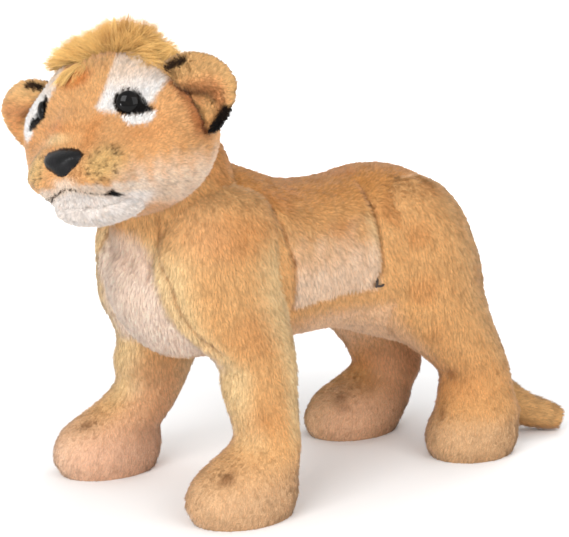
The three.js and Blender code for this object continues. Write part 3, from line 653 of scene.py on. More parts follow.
seam_depth = 4.2
bare_torso = Form(torso.points, torso.faces)
bare_legs = {name: Form(form.points, form.faces) for name, form in leg_forms.items()}
filleted(torso, [bare_legs["front_left"], bare_legs["front_right"]], shoulder_reach)
filleted(torso, [bare_legs["hind_left"], bare_legs["hind_right"]], hip_reach)
for name, form in leg_forms.items():
    filleted(form, [bare_torso], shoulder_reach if "front" in name else hip_reach)
for form in (torso, *leg_forms.values()):
    form.points = form.points - form.normals * (seam_depth * seams(form.points))[:, None]
    form.settle()
print("head points:", len(head.points), "tail points:", len(tail.points))

# %% [markdown]
# ## Colour zones
#
# Each zone is a soft spot or an outline with soft edges, given in real sizes.
# The body's zones lie in the cub's own frame and the face's zones in the head's frame.

# %% Paint for the body and the face
def shade(*rgb):
    return np.array(linear(*rgb)[:3])


def spot(points, centre, radii, power=2.0):
    """1 in the middle of a soft spot, fading outward. A higher power has a harder edge."""
    gap = np.linalg.norm((points - centre) / radii, axis=1)
    return np.exp(-gap ** power)


def waves(points, size, seed, count=10):
    """Smooth noise from -1 to 1, made of sine waves in seeded directions."""
    rng = np.random.default_rng(seed)
    total = np.zeros(len(points))
    for _ in range(count):
        direction = unit(rng.normal(size=3)) * 2 * math.pi / (size * rng.uniform(0.6, 1.6))
        total += np.sin(points @ direction + rng.uniform(0, 2 * math.pi))
    return total / math.sqrt(count / 2) / 1.6


def over(colours, weight, colour):
    """Colours with another laid over them by a weight from 0 to 1."""
    return colours + (colour - colours) * np.clip(weight, 0, 1)[:, None]


def layered(ground, points, layers):
    """A ground colour with layers of colour over it, each with its weight at every point."""
    colours = np.tile(ground, (len(points), 1))
    for weight, colour in layers:
        colours = over(colours, weight, colour)
    return colours


def outlined(u, v, corners, soft):
    """1 inside an outline and 0 outside it, with soft edges."""
    closed = [*corners, corners[0]]
    gap = line_gap(u, v, closed)
    inside = np.zeros(len(u), bool)
    for (ax, ay), (bx, by) in zip(closed[:-1], closed[1:]):
        rise = by - ay
        at = ax + (v - ay) * (bx - ax) / (rise if rise else 1e-9)
        inside ^= ((ay > v) != (by > v)) & (u < at)
    return step(-soft, soft, np.where(inside, gap, -gap))


tan, back_tan, fore_tan = shade(230, 174, 115), shade(200, 134, 66), shade(230, 176, 118)
pale, cream, white = shade(242, 210, 182), shade(255, 226, 206), shade(242, 237, 233)
straw, peach, golden = shade(244, 208, 158), shade(250, 202, 160), shade(232, 186, 114)
rust, brown, seam_painted_shade = shade(208, 136, 76), shade(120, 72, 38), shade(172, 112, 64)
black = shade(16, 14, 14)


def chest_edge(z):
    """How far the cream of the chest reaches to the sides, at each height."""
    return np.interp(z, [140, 154, 178, 198, 218, 234, 252, 274], [88, 82, 72, 65, 60, 48, 38, 36])


def chest_zone(points, inset, soft):
    """The front of the chest inside its seam, by an inset. It reaches further out on the far side."""
    x, y, z = points.T
    far_side = 14 * step(0, -30, x) * step(190, 214, z)
    edge = chest_edge(z) + far_side - inset + 1.5 * waves(points, size=9, seed=41)
    between = step(edge + soft, edge - soft, np.abs(x))
    return between * step(-40, -54, y) * step(264, 238, z) * step(132, 146, z)


def flank_zone(points):
    """The pale flank between the two seams, with a sharp lower edge."""
    x, y, z = points.T
    bottom = np.interp(y, [22, 45, 80, 120], [180, 183, 187, 187]) + 0.8 * waves(points, size=8, seed=42)
    front = np.interp(z, [178, 196, 222, 252], [22, 21, 18, 11])
    return (step(front - 1, front + 3, y) * step(122, 112, y) * step(bottom - 2, bottom + 2, z)
            * step(258, 200, z + 6 * waves(points, size=26, seed=43)) * step(18, 34, np.abs(x)))


def torso_paint(points, normals):
    x, y, z = points.T
    beside = step(18, 34, np.abs(x))
    top = step(0.2, 0.9, normals[:, 2]) * step(236, 284, z)
    ginger = step(0.1, 0.9, waves(points, size=60, seed=5)) * step(205, 250, z)
    rear = np.exp(-((y - 113 - 0.06 * (z - 230)) / 6) ** 2) * step(186, 196, z) * step(262, 244, z)
    # Small brown spots where the shoulder and thigh seams crease, as painted shade.
    seam_spots = [np.exp(-(((y - spot_y) / 2.4) ** 2 + ((z - spot_z) / 4.5) ** 2)) * step(18, 30, x)
               for spot_y, spot_z in ((122, 263), (12, 250), (18, 226))]
    return layered(tan, points, [
        (0.8 * top, back_tan),
        (0.45 * ginger, rust),
        (0.6 * rear * beside, shade(246, 208, 150)),
        (0.9 * flank_zone(points), pale),
        (0.85 * (step(178, 160, z) * step(10, 75, y)), peach),
        (0.85 * chest_zone(points, inset=0, soft=4), straw),
        (0.95 * chest_zone(points, inset=16, soft=9), cream),
        # Painted light: the top of the chest, in the head's shadow, is painted warmer and paler.
        (0.4 * chest_zone(points, inset=14, soft=8) * step(205, 240, z), shade(255, 208, 176)),
        *((0.75 * dab, brown) for dab in seam_spots),
        # Painted shade along the seams and folds.
        (0.65 * seams(points, width=2.0), seam_painted_shade),
    ])


dabs = {
    "front_left": [((105, -71, 44), (7, 8, 6)), ((102, -70, 50), (4, 7, 5))],
    "front_right": [((-90, -103, 51), (6, 8, 5)), ((-86, -100, 57), (4, 6, 4))],
    "hind_left": [((62, 208, 46), (4, 6, 9)), ((71, 209, 89), (5, 6, 9))],
    "hind_right": [((-47, 166, 41), (7, 7, 5)), ((-41, 166, 34), (7, 8, 4))],
}


def front_leg_layers(points, side, edges):
    z = points[:, 2]
    return [
        (0.5 * spot(points, (side * 84, -48, 257), (60, 42, 22), 4), shade(216, 142, 80)),
        (0.35 * spot(points, (side * 84, -26, 172), (60, 36, 22), 4), shade(216, 142, 82)),
        # Painted rim light on the leg's front and back edges.
        (0.85 * edges * step(50, 90, z) * step(262, 225, z), shade(246, 210, 156)),
        (0.5 * spot(points, (side * 104, -36, 92), (16, 20, 16)), rust),
        (0.75 * step(70, 22, z), shade(228, 186, 146) if side > 0 else shade(250, 208, 180)),
        (0.4 * spot(points, (side * 60, -66, 250), (26, 26, 30), 3), shade(228, 184, 144)),
        (0.9 * flank_zone(points), pale),
        (0.75 * chest_zone(points, inset=0, soft=4), straw),
        (0.9 * chest_zone(points, inset=16, soft=9), cream),
    ]


def hind_leg_layers(points, side, edges, behind):
    x, y, z = points.T
    ginger = step(-0.1, 1.0, waves(points, size=50, seed=7)) * step(100, 150, z)
    belly = step(178, 160, z) * step(78, 60, np.abs(x)) * step(hip[1] + 10, hip[1] - 20, y)
    return [
        (0.4 * ginger, rust),
        # Painted rim light on the hind leg's back edge.
        (0.5 * edges * step(60, 110, z) * behind, shade(236, 192, 138)),
        (0.5 * spot(points, (side * 60, hip[1] + 24, 78), (60, 50, 26)), rust),
        (0.8 * step(56, 26, z), shade(222, 180, 138)),
        (0.6 * belly, peach),
    ]


def leg_paint(name):
    front, side = "front" in name, legs[name][1]

    def paint(points, normals):
        facing_back = normals[:, 1]
        # The leg's front and back edges, where it turns away from the side; they are painted paler, as
        # painted rim light.
        edges = np.maximum(step(0.40, 0.85, -facing_back), step(-0.05, 0.45, facing_back))
        if front:
            ground, layers = fore_tan, front_leg_layers(points, side, edges)
        else:
            ground, layers = tan, hind_leg_layers(points, side, edges, step(-0.2, 0.5, facing_back))
        inner = step(0.1, 0.9, -normals[:, 0] * side) * step(150, 60, points[:, 2])
        return layered(ground, points, [
            *layers,
            (0.5 * inner, shade(222, 158, 116) if side > 0 else shade(240, 184, 150)),
            *((0.7 * spot(points, centre, radii), brown) for centre, radii in dabs[name]),
            # Painted shade along the seams and folds.
            (0.65 * seams(points, width=2.0), seam_painted_shade),
        ])
    return paint


eye_outline = [
    (29.5, 27), (31.5, 33), (37, 36.5), (44, 36.5), (49.5, 33), (54, 28), (59, 21.5), (65, 16), (58, 14),
    (50, 13.8), (43, 14.4), (36, 16.4), (32, 20),
]
brow_white = [
    (17, 24.5), (21, 34), (23.6, 42), (25, 55), (22, 66), (24, 80), (50, 78), (63, 60), (67, 46), (66, 34),
    (63, 23), (57, 21), (48, 30), (36, 34), (32, 28), (33, 17.5),
]
far_white = [
    (40, 34), (33, 43), (29, 50), (29, 60), (36, 74), (56, 74), (76, 50), (80, 28), (76, 8), (66, 2), (58, 7),
    (60, 14), (56, 20), (50, 30), (44, 38),
]
far_outline = [
    (40, 36), (44, 39), (51, 36), (57, 29), (62, 20), (66, 12.5), (61, 10), (55, 12.5), (49, 17),
    (44.5, 22), (41, 29),
]
eye_crescent = [
    (37, 15), (43, 14.5), (50, 14), (58, 14.5), (66, 16), (66, 11), (62, 7.5), (56, 6), (48, 6.8),
    (41, 10),
]
mouth_corner = [(28, -45), (36, -41), (36.5, -49.5)]


def mouth_height(u):
    return np.interp(np.abs(u), [0, 4, 12, 25, 40], [-37, -37.4, -40.5, -44.5, -45.5])


def whisker_spots():
    rng = np.random.default_rng(11)
    across, up = rng.uniform(20, 47, 46), rng.uniform(-36, -5, 46)
    inside = ((across - 34) / 13) ** 2 + ((up + 20) / 15) ** 2 < 1
    return list(zip(across[inside], up[inside], rng.uniform(0.9, 1.5, inside.sum())))


def ear_places(points, side):
    """Places in the frame of one ear."""
    inverse = np.linalg.inv(head_matrix @ ear_matrix(side))
    return points @ inverse[:3, :3].T + inverse[:3, 3]


def face_paint(points, normals):
    place = to_head(points)
    x, y, z = place.T
    u = np.abs(x)
    mirrored = np.stack([u, y, z], 1)
    facing = step(-5, -35, y)
    ragged = waves(place, size=14, seed=31)
    streak = np.exp(-((u - 18 - 0.1 * z) / 6) ** 2) * step(-14, 0, z) * step(24, 10, z)
    jowl = step(-14, -44, z + 3 * ragged) * step(32, 56, u)
    lip = step(-29 - 0.12 * u, -35 - 0.12 * u, z + 1.5 * ragged) * step(-50, -72, y)
    cleft = np.exp(-(u / 10) ** 2) * step(-24, -31, z)
    mouth = mouth_height(u)
    below = step(mouth + 1, mouth - 4, z) * step(-40, -60, y) * step(60, 44, u)
    dots = np.zeros(len(points))
    for across, up, size in whisker_spots():
        dots = np.maximum(dots, np.exp(-(((u - across) / size) ** 2 + ((z - up) / (size * 0.8)) ** 2)))
    # Painted shade where the ears' crease lines run onto the head at their roots.
    ear_root_crease_shades = []
    for side in (-1, 1):
        local = ear_places(points, side)
        near = step(16, 8, np.abs(local[:, 1] + 4))
        crease = np.exp(-(line_gap(side * local[:, 0], local[:, 2], ear_crease) / 6.0) ** 2)
        ear_root_crease_shades.append((0.7 * crease * near, shade(170, 98, 52)))
    near_eye, far_eye = x > 0, x < 0
    brow = (near_eye * outlined(u, z + 0.8 * ragged, brow_white, soft=2.6)
            + far_eye * outlined(u, z, far_white, soft=2.2))
    rim = near_eye * outlined(u, z, eye_outline, soft=0.8) + far_eye * outlined(u, z, far_outline, soft=0.8)
    return layered(shade(222, 166, 111), points, [
        (0.5 * step(20, 50, z) * facing, shade(226, 174, 116)),
        (0.9 * spot(place, (-11, -50, 50), (17, 30, 9), 4), shade(212, 126, 62)),
        (0.6 * streak * facing, rust),
        (0.6 * spot(place, (-18, -75, 10), (26, 30, 5.5)), shade(220, 140, 76)),
        (0.85 * spot(place, (-17, -84, 2.5), (17, 16, 5), 3), shade(240, 204, 150)),
        (0.4 * spot(mirrored, (58, -60, 0), (18, 24, 9)), rust),
        (0.9 * jowl, shade(246, 218, 192)),
        (0.8 * spot(mirrored, (34, -92, -20), (15, 30, 14), 4), shade(222, 184, 122)),
        (0.9 * lip, shade(246, 224, 204)),
        (0.9 * cleft * facing, shade(246, 222, 200)),
        (0.95 * below, shade(240, 229, 221)),
        (0.95 * dots * facing, shade(60, 44, 28)),
        (outlined(u, z, mouth_corner, soft=0.7) * facing, black),
        *ear_root_crease_shades,
        (0.12 * step(0.3, 1.0, ragged) * step(60, 30, y), rust),
        (brow * facing, shade(234, 210, 188)),
        (brow * facing * step(54, 30, z), white),
        (near_eye * outlined(u, z, eye_crescent, soft=1.0) * facing, white),
        (rim * facing, black),
    ])


def chin_paint(points, normals):
    return layered(shade(238, 226, 217), points, [(step(-66, -80, to_head(points)[:, 2]) * 0.5, pale)])


black_bar = [(38.5, -17), (31, -23), (20.5, -31)]
far_top_drop = 3.5


def ear_paint(name):
    side = sides[name]
    drop = far_top_drop * (side < 0)
    top_line = [(0, 30 - drop), (15, 31 - drop)]

    def paint(points, normals):
        place = ear_places(points, side)
        back = normals @ (head_matrix @ ear_matrix(side))[:3, 1]
        u, y, z = side * place[:, 0], place[:, 1], place[:, 2]
        rim = np.hypot((u - ear_out) / 38, z / 36)
        front = step(3, -3, y - 5 * (rim - 0.8))
        inner = front * step(0.98, 0.7, rim)
        hollow = np.exp(-(((u - 17) / 10) ** 2 + ((z + 17) / 9) ** 2))
        crease = np.exp(-(line_gap(u, z, ear_crease) / 4.6) ** 2)
        fold = np.exp(-(line_gap(u, z, ear_fold) / 3.4) ** 2)
        bar = np.exp(-(line_gap(u, z, black_bar) / 3.9) ** 4) * (1 if side > 0 else step(0, 0.3, back))
        top = np.exp(-(line_gap(u, z, top_line) / 3.0) ** 4) * step(3, -3, y)
        return layered(shade(226, 178, 120), points, [
            (inner * 0.7 * step(22, 6, z), shade(222, 150, 98)),
            (inner * 0.7 * hollow, shade(236, 186, 116)),
            # The ear's crease and fold are painted dark brown, as painted shade in their grooves.
            (front * 0.95 * crease, shade(120, 58, 24)),
            (front * 0.9 * fold, shade(126, 62, 26)),
            (np.maximum(bar, top), black),
        ])
    return paint


def tail_paint(points, normals):
    # The tail's lower underside is painted rust, as painted shade where it faces down.
    under = step(250, 90, points[:, 2]) * step(0.2, 1, -normals[:, 2])
    return layered(shade(208, 160, 106), points, [(0.4 * under, rust)])


def mane_paint(points, normals):
    dark = step(0.1, 1.0, waves(points, size=12, seed=13))
    return layered(golden, points, [(0.4 * dark, shade(186, 132, 68))])


print("whisker spots on each side:", len(whisker_spots()))

# %% [markdown]
# ## Sewing the skins and growing the plush
#
# A skin is the form itself. The plush is one pointed blade for each bundle of hair, rooted in the skin and
# leaning the way that the pile is brushed. Blades near one another draw together in small tufts.
# A blade shades nearly as the skin under it does, so the pile looks soft.

# %% Skins and blades
def dressed(name, mesh, material):
    """A smooth object of one material, in the scene."""
    made = bpy.data.objects.new(name, mesh)
    bpy.context.scene.collection.objects.link(made)
    mesh.materials.append(materials[material])
    mesh.shade_smooth()
    return made


def placed_form(name, form, body, material):
    mesh = bpy.data.meshes.new(name)
    mesh.from_pydata(((form.points + SHIFT) / 1000).tolist(), [], form.faces)
    made = dressed(name, mesh, material)
    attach(made, body)
    return made


def painted(made, colours):
    """Stores the paint of each point on the mesh."""
    layer = made.data.color_attributes.new("paint", "FLOAT_COLOR", "POINT")
    opaque = np.hstack([colours, np.ones((len(colours), 1))])
    layer.data.foreach_set("color", opaque.astype(np.float32).ravel())


# The skins are painted darker than the pile, as painted shade where the skin shows deep between the blades.
skin_painted_shade = 0.84


def sewn(name, form, body, paint, slot_name, *nodes, fill=0.85):
    """A stuffed skin, painted a little darker than the pile that grows on it, as painted shade deep in the
    pile.
    """
    made = placed_form(name, form, body, "skin")
    painted(made, skin_painted_shade * paint(form.points, form.normals))
    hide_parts(*nodes)
    return made


def scattered(form, per_mm2, rng, cover, margin):
    """Seeded random roots on a form, leaving out what lies under its neighbours."""
    triangles = form.triangles[(cover[form.triangles] > margin).all(1)]
    a, b, c = (form.points[triangles[:, k]] for k in range(3))
    areas = np.linalg.norm(np.cross(b - a, c - a), axis=1) / 2
    count = int(areas.sum() * per_mm2)
    chosen = triangles[rng.choice(len(triangles), count, p=areas / areas.sum())]
    s, t = rng.random(count), rng.random(count)
    flip = s + t > 1
    s[flip], t[flip] = 1 - s[flip], 1 - t[flip]
    weights = np.stack([1 - s - t, s, t], 1)[:, :, None]
    return (form.points[chosen] * weights).sum(1), unit((form.normals[chosen] * weights).sum(1))


def lying(normals, comb):
    """The comb direction, laid flat on the surface."""
    return unit(comb - normals * (comb * normals).sum(1, keepdims=True))


spike_faces = ((0, 1, 3), (1, 2, 3), (2, 0, 3))
spike_corners = ((0.08, 0.08), (0.92, 0.08), (0.5, 0.3), (0.5, 0.95))
spike_depth, root_depth = 0.45, 0.5
# Blades are painted darker at the root's corners, darkest on the hidden corner below, and paler at the tip:
# painted shade deep in the pile, painted light at the tip.
side_painted_shade, under_painted_shade, tip_painted_light = 0.94, 0.88, 1.08
blades_in_piece, faces_in_piece = 64000, 190000


def spikes(roots, normals, ahead, tall, wide):
    """Three sided pointed blades: two corners at the sides, one below, and a tip."""
    side = unit(np.cross(ahead, normals)) * (wide / 2)[:, None]
    base = roots - normals * root_depth
    under = np.cross(side, ahead)
    inward = np.sign((under * normals).sum(1, keepdims=True))
    below = base - unit(under) * (wide * spike_depth)[:, None] * inward
    tips = base + ahead * tall[:, None]
    points = np.stack([base - side, base + side, below, tips], 1)
    facing = np.cross(points[:, 1] - points[:, 0], points[:, 3] - points[:, 0])
    wrong = (facing * normals).sum(1) < 0
    points[wrong] = points[wrong][:, [1, 0, 2, 3]]
    return points


def nearest_of(points, places):
    """For each place, the number of the nearest point and how far off it is."""
    tree = KDTree(len(points))
    for k, point in enumerate(points):
        tree.insert(point, k)
    tree.balance()
    found = np.array([tree.find(place)[1:] for place in places.tolist()])
    return found[:, 0].astype(int), found[:, 1]


def in_pieces(name, order, pieces):
    """The name of each piece of a mesh that is too large for one, and what goes into it."""
    parts = np.array_split(order, pieces)
    return [(f"{name}_{number}" if pieces > 1 else name, part) for number, part in enumerate(parts, 1)]


def grown(name, form, body, paint, comb, slot_name, per_mm2, length, seed, cover, margin=0.5, width=0.78,
          lean=0.68, shag=0.12, swirl=0.22, blur=0.7, tufts=0.10, squat=0.42, gather=0.48):
    """Plush on a form, in pieces that are small enough.

    A blade of this length and width leans by a share of a right angle, strays by shag and swirl, and
    gathers with its neighbours in tufts, so many to the square millimetre. Squat tufts are longer than wide.
    """
    rng = np.random.default_rng(seed)
    roots, normals = scattered(form, per_mm2, rng, cover, margin)
    count = len(roots)
    eddy = np.stack([waves(roots, size=15, seed=seed + 10 + k) for k in range(3)], 1)
    along = lying(normals, comb(roots, normals) + swirl * eddy)
    tall = (length(roots) if callable(length) else length) * (1 + 0.16 * rng.normal(size=count))
    stray = rng.normal(size=(count, 3)) * shag
    lift = np.clip(lean + 0.10 * rng.normal(size=count), 0.2, 1.1) * math.pi / 2
    ahead = unit(normals * np.cos(lift)[:, None] + along * np.sin(lift)[:, None] + stray)
    leaders = rng.choice(count, max(1, int(count * tufts / per_mm2)), replace=False)
    narrowed = roots * (1, 1, squat)
    nearest, off_leader = nearest_of(narrowed[leaders], narrowed)
    swing = rng.normal(size=(len(leaders), 3))
    lead_ahead = unit(ahead[leaders] + 0.22 * swing)
    lead_tips = roots[leaders] + lead_ahead * (tall[leaders] * 1.1)[:, None]
    meet = lead_tips[nearest] + 0.3 * (roots - roots[leaders][nearest])
    aim = unit(gather * (meet - roots) + (1 - gather) * ahead * tall[:, None])
    off = (aim * normals).sum(1)
    aim = unit(aim + normals * np.clip(0.12 - off, 0, 1)[:, None])
    points = spikes(roots, normals, aim, tall, width * rng.uniform(0.7, 1.25, count))
    tint = paint(roots + blur * rng.normal(size=(count, 3)), normals)
    # Blades far from their tuft's leader are painted darker, as painted shade in the gaps between tufts; each
    # tuft and blade also varies a little in tone at random.
    edge = np.clip(off_leader * math.sqrt(tufts / squat) * 1.5, 0, 1.2)
    tuft_gap_shade_and_tone = 1.07 - 0.19 * edge ** 2 + 0.045 * rng.normal(size=count) + 0.045 * swing[nearest, 0]
    warm = 1 + 0.03 * swing[nearest, 1][:, None] * np.array([0.0, -0.5, -1.0])
    tint = tint * tuft_gap_shade_and_tone[:, None] * warm
    colours = np.stack([tint * level for level in (side_painted_shade, side_painted_shade, under_painted_shade, tip_painted_light)], 1)
    shading = unit(normals + 0.42 * aim + 0.12 * rng.normal(size=(count, 3)))
    shading = np.repeat(shading[:, None], 4, 1)
    order = np.argsort(roots[:, 1], kind="stable")
    for label, part in in_pieces(name, order, max(1, math.ceil(count / blades_in_piece))):
        blades_mesh(label, points[part], colours[part], shading[part], body,
                    spike_faces, spike_corners)
    print(f"{name}: {count} blades")


def in_rows(points):
    """The order that lays blades out in a square map, with neighbours side by side."""
    rows = math.ceil(math.sqrt(len(points)))
    rank = np.argsort(np.argsort(points[:, 1], kind="stable"), kind="stable")
    return np.lexsort((points[:, 2], rank // rows)), rows


def blades_mesh(name, points, colours, shading, body, closed, corners_at):
    """One mesh from many small blades of the same make. Each has its own cell in the map."""
    order, rows = in_rows(points[:, 0])
    points, colours, shading = points[order], colours[order], shading[order]
    count, corners = points.shape[:2]
    flat = (points.reshape(-1, 3) + SHIFT) / 1000
    faces = (np.arange(count)[:, None, None] * corners + np.array(closed)).reshape(-1, 3)
    mesh = bpy.data.meshes.new(name)
    mesh.vertices.add(len(flat))
    mesh.vertices.foreach_set("co", flat.astype(np.float32).ravel())
    mesh.loops.add(faces.size)
    mesh.loops.foreach_set("vertex_index", faces.astype(np.int32).ravel())
    mesh.polygons.add(len(faces))
    mesh.polygons.foreach_set("loop_start", np.arange(0, faces.size, 3, dtype=np.int32))
    mesh.update(calc_edges=True)
    made = dressed(name, mesh, "plush")
    painted(made, np.clip(colours.reshape(-1, 3), 0, 1))
    cell = np.stack([np.arange(count) // rows, np.arange(count) % rows], 1)
    places = (cell[:, None, :] + np.array(corners_at)[None]).reshape(-1, 2) / rows
    layer = mesh.uv_layers.new(name="OFBake")
    layer.data.foreach_set("uv", places[faces.ravel()].astype(np.float32).ravel())
    mesh.normals_split_custom_set_from_vertices(shading.reshape(-1, 3).astype(np.float32))
    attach(made, body)


def cover_of(form, others, reach=45):
    """How far outside its nearest neighbour each point of a form lies."""
    out = np.full(len(form.points), 1e3)
    for other in others:
        low, high = other.points.min(0) - reach, other.points.max(0) + reach
        near = ((form.points > low) & (form.points < high)).all(1)
        out[near] = np.minimum(out[near], other.distance(form.points[near]))
    return out


print("blades in one piece at most:", blades_in_piece)

# %% [markdown]
# The body's pile is brushed down flanks and legs, back along the spine and forward over the paws.

# %% Torso and legs
def torso_comb(points, normals):
    spine = step(0.55, 0.95, normals[:, 2])[:, None]
    return np.array([0, 0.30, -1.0]) * (1 - spine) + np.array([0, 1.0, -0.2]) * spine


def leg_comb(points, normals):
    paw = step(56, 30, points[:, 2])[:, None]
    return np.array([0, 0.12, -1.0]) * (1 - paw) + np.array([0, -0.5, -0.8]) * paw


# Pile also grows this far under neighbours that move away, so that no bare skin shows then.
under_limbs, under_head, under_torso, no_pile, sole_height = 9, 27, 14, -9, 1.0
body_pile = {"per_mm2": 1.8, "margin": -3}
beside_limbs = cover_of(torso, [*leg_forms.values(), tail]) + under_limbs
torso_cover = np.minimum(beside_limbs, cover_of(torso, [head_world, chin_world]) + under_head)
sewn("torso_skin", torso, "torso_body", torso_paint, "tan_plush", "torso", fill=0.9)
grown("torso_plush", torso, "torso_body", torso_paint, torso_comb, "tan_plush", length=4.6, seed=101,
      cover=torso_cover, **body_pile)


def leg_length(points):
    """The pile is shorter on the paws than on the legs."""
    return 3.2 + 1.4 * step(50, 140, points[:, 2])


for number, (name, form) in enumerate(leg_forms.items()):
    paint, body = leg_paint(name), f"leg_{name}_body"
    cover = cover_of(form, [torso, head_world]) + under_limbs
    cover = np.where(form.points[:, 2] < sole_height, no_pile, cover)
    sewn(f"leg_skin_{name}", form, body, paint, "tan_plush", f"leg_{name}", fill=0.9)
    grown(f"leg_plush_{name}", form, body, paint, leg_comb, "tan_plush", length=leg_length,
          seed=201 + 50 * number, cover=cover, **body_pile)

# %% [markdown]
# The face's pile is brushed away from the nose and is shortest on the muzzle. Eyes and nose have bare beds.

# %% Head, chin, ears, mane base and tail
def face_comb(points, normals):
    place = to_head(points)
    out = unit(place - (0, -112, -14)) + (0, 0.25, 0.1)
    return out @ head_matrix[:3, :3].T


def face_length(points):
    place = to_head(points)
    return 2.8 + 1.8 * step(-70, -10, place[:, 1]) + 0.8 * step(-30, -60, place[:, 2])


def ear_comb(side):
    outward = (head_matrix @ ear_matrix(side))[:3, :3] @ np.array([side * 1.0, 0.1, 0.25])
    return lambda points, normals: np.tile(outward, (len(points), 1))


def tail_comb(points, normals):
    low = step(80, 40, points[:, 2])[:, None]
    return np.array([0, 0.2, -1.0]) * (1 - low) + np.array([0.55, 0.8, -0.1]) * low


sewn("head_skin", head_world, "head_body", face_paint, "tan_plush", "head", fill=0.9)
near_eye_out, eye_back, eye_height, eye_bed = 43.5, -57.5, 25.5, 9.0
eyes = {}
for name, side, out, around in (("left", 1, near_eye_out, 36), ("right", -1, 51.5, 52)):
    back = eye_back + 0.8 * (out - near_eye_out)
    eyes[name] = head_matrix @ np.array(
        Matrix.Translation((side * out, back, eye_height))
        @ Matrix.Rotation(math.radians(side * around), 4, "Z")
        @ Matrix.Rotation(math.pi / 2 - math.radians(4), 4, "X")
    )
nose_tip, nose_depth, nose_half_height, nose_bed = -109, 15, 16.0, 11.0
nose_half_width, near_half_width = 20.0, 18.4
nose_matrix = head_matrix @ np.array(
    Matrix.Translation((-1.5, nose_tip + nose_depth, -17.5))
    @ Matrix.Rotation(math.pi / 2 + math.radians(2), 4, "X")
)
head_cover = np.minimum(cover_of(head_world, [chin_world]), cover_of(head_world, [torso]) + under_torso)
for matrix, radius in ((eyes["left"], eye_bed), (eyes["right"], eye_bed), (nose_matrix, nose_bed)):
    gap = np.linalg.norm(head_world.points - matrix[:3, 3], axis=1)
    head_cover = np.where(gap < radius, no_pile, head_cover)
round_tufts = {"squat": 1.0, "gather": 0.4}
grown("head_plush", head_world, "head_body", face_paint, face_comb, "tan_plush", per_mm2=2.3,
      length=face_length, seed=401, cover=head_cover, margin=-1, width=0.75, lean=0.55, swirl=0.25, blur=0.5,
      tufts=0.16, **round_tufts)
sewn("chin_skin", chin_world, "head_body", chin_paint, "pale_plush", "chin")
grown("chin_plush", chin_world, "head_body", chin_paint, face_comb, "pale_plush", per_mm2=2.2, length=4.2,
      seed=432, cover=cover_of(chin_world, [head_world, torso]), margin=-2, width=0.8, **round_tufts)
for name, side in sides.items():
    form, paint, body = ears[name], ear_paint(name), f"ear_{name}_body"
    sewn(f"ear_skin_{name}", form, body, paint, "tan_plush", f"ear_{name}",
         f"ear_mark_top_{name}", f"ear_mark_low_{name}", fill=0.3)
    grown(f"ear_plush_{name}", form, body, paint, ear_comb(side), "tan_plush", per_mm2=2.4, length=4.4,
          seed=470 + 30 * side, cover=cover_of(form, [head_world]), width=0.75, lean=0.5, blur=0.5,
          tufts=0.14, **round_tufts)
sewn("tail_skin", tail, "tail_body", tail_paint, "tan_plush", "tail")
grown("tail_plush", tail, "tail_body", tail_paint, tail_comb, "tan_plush", per_mm2=1.5, length=5.2,
      seed=536, cover=cover_of(tail, [torso]), margin=-12, tufts=0.08, squat=1.0)


# The mane's base is the mane's colour painted darker, as painted shade under the strands.
def mane_base_painted_shade(points, normals):
    return 0.6 * mane_paint(points, normals)


sewn("mane_base", mane_world, "head_body", mane_base_painted_shade, "mane_plush", "mane", fill=0.4)

# %% [markdown]
# ## Mane
#
# Long strands leave a whorl above the left brow, fall to both sides in locks and droop over the hairline.
# Wisps and single hairs stand out from them.

# %% Long strands
def strands(name, paths, widths, tints, outward, seed, body="head_body", root=0.70, tip=1.15):
    """Three sided hairs that follow their paths and narrow to a point, painted darker at the root as painted
    shade and paler at the tip as painted light.
    """
    rng = np.random.default_rng(seed)
    count, steps = len(paths), paths.shape[1] - 1
    spare = rng.normal(size=(count, 3))
    rings, facings = [], []
    for k in range(steps):
        heading = unit(paths[:, k + 1] - paths[:, k])
        side = unit(np.cross(heading, spare))
        lift = np.cross(heading, side)
        taper = (widths / 2 * (1 - k / steps) ** 0.6)[:, None]
        for j in range(3):
            spin = 2 * math.pi * j / 3
            out = side * math.cos(spin) + lift * math.sin(spin)
            rings.append(paths[:, k] + out * taper)
            facings.append(unit(0.55 * outward + 0.45 * out))
    points = np.stack([*rings, paths[:, -1]], 1)
    facings = np.stack([*facings, unit(0.55 * outward + 0.45 * heading)], 1)
    faces = []
    for k in range(steps - 1):
        for j in range(3):
            p, q = 3 * k + j, 3 * k + (j + 1) % 3
            faces += [(p, q, q + 3), (p, q + 3, p + 3)]
    last = 3 * (steps - 1)
    faces += [(last + j, last + (j + 1) % 3, last + 3) for j in range(3)]
    # Each ring is painted darker towards the root as painted shade, and the tip paler as painted light.
    root_shade_tip_light = [level for level in np.linspace(root, tip, steps) for _ in range(3)] + [tip]
    shades = np.stack([tints * level for level in root_shade_tip_light], 1)
    corners = [(0.08 + 0.42 * j, 0.05 + 0.85 * k / steps) for k in range(steps) for j in range(3)]
    corners.append((0.5, 0.97))
    pieces = math.ceil(count * len(faces) / faces_in_piece)
    for label, part in in_pieces(name, np.argsort(paths[:, 0, 0], kind="stable"), pieces):
        blades_mesh(label, points[part], shades[part], facings[part], body, faces, corners)
    print(f"{name}: {count} strands")


def curved(roots, starts, lengths, droop, curl, rng, steps=5):
    """Paths that leave their roots in a given direction, curl a little and droop."""
    place, heading = roots.copy(), unit(starts)
    turns = rng.normal(size=roots.shape) * curl
    path = [place]
    for _ in range(steps):
        place = place + heading * (lengths / steps)[:, None]
        heading = unit(heading + np.array([0, 0, -droop]) + turns)
        path.append(place)
    return np.stack(path, 1)


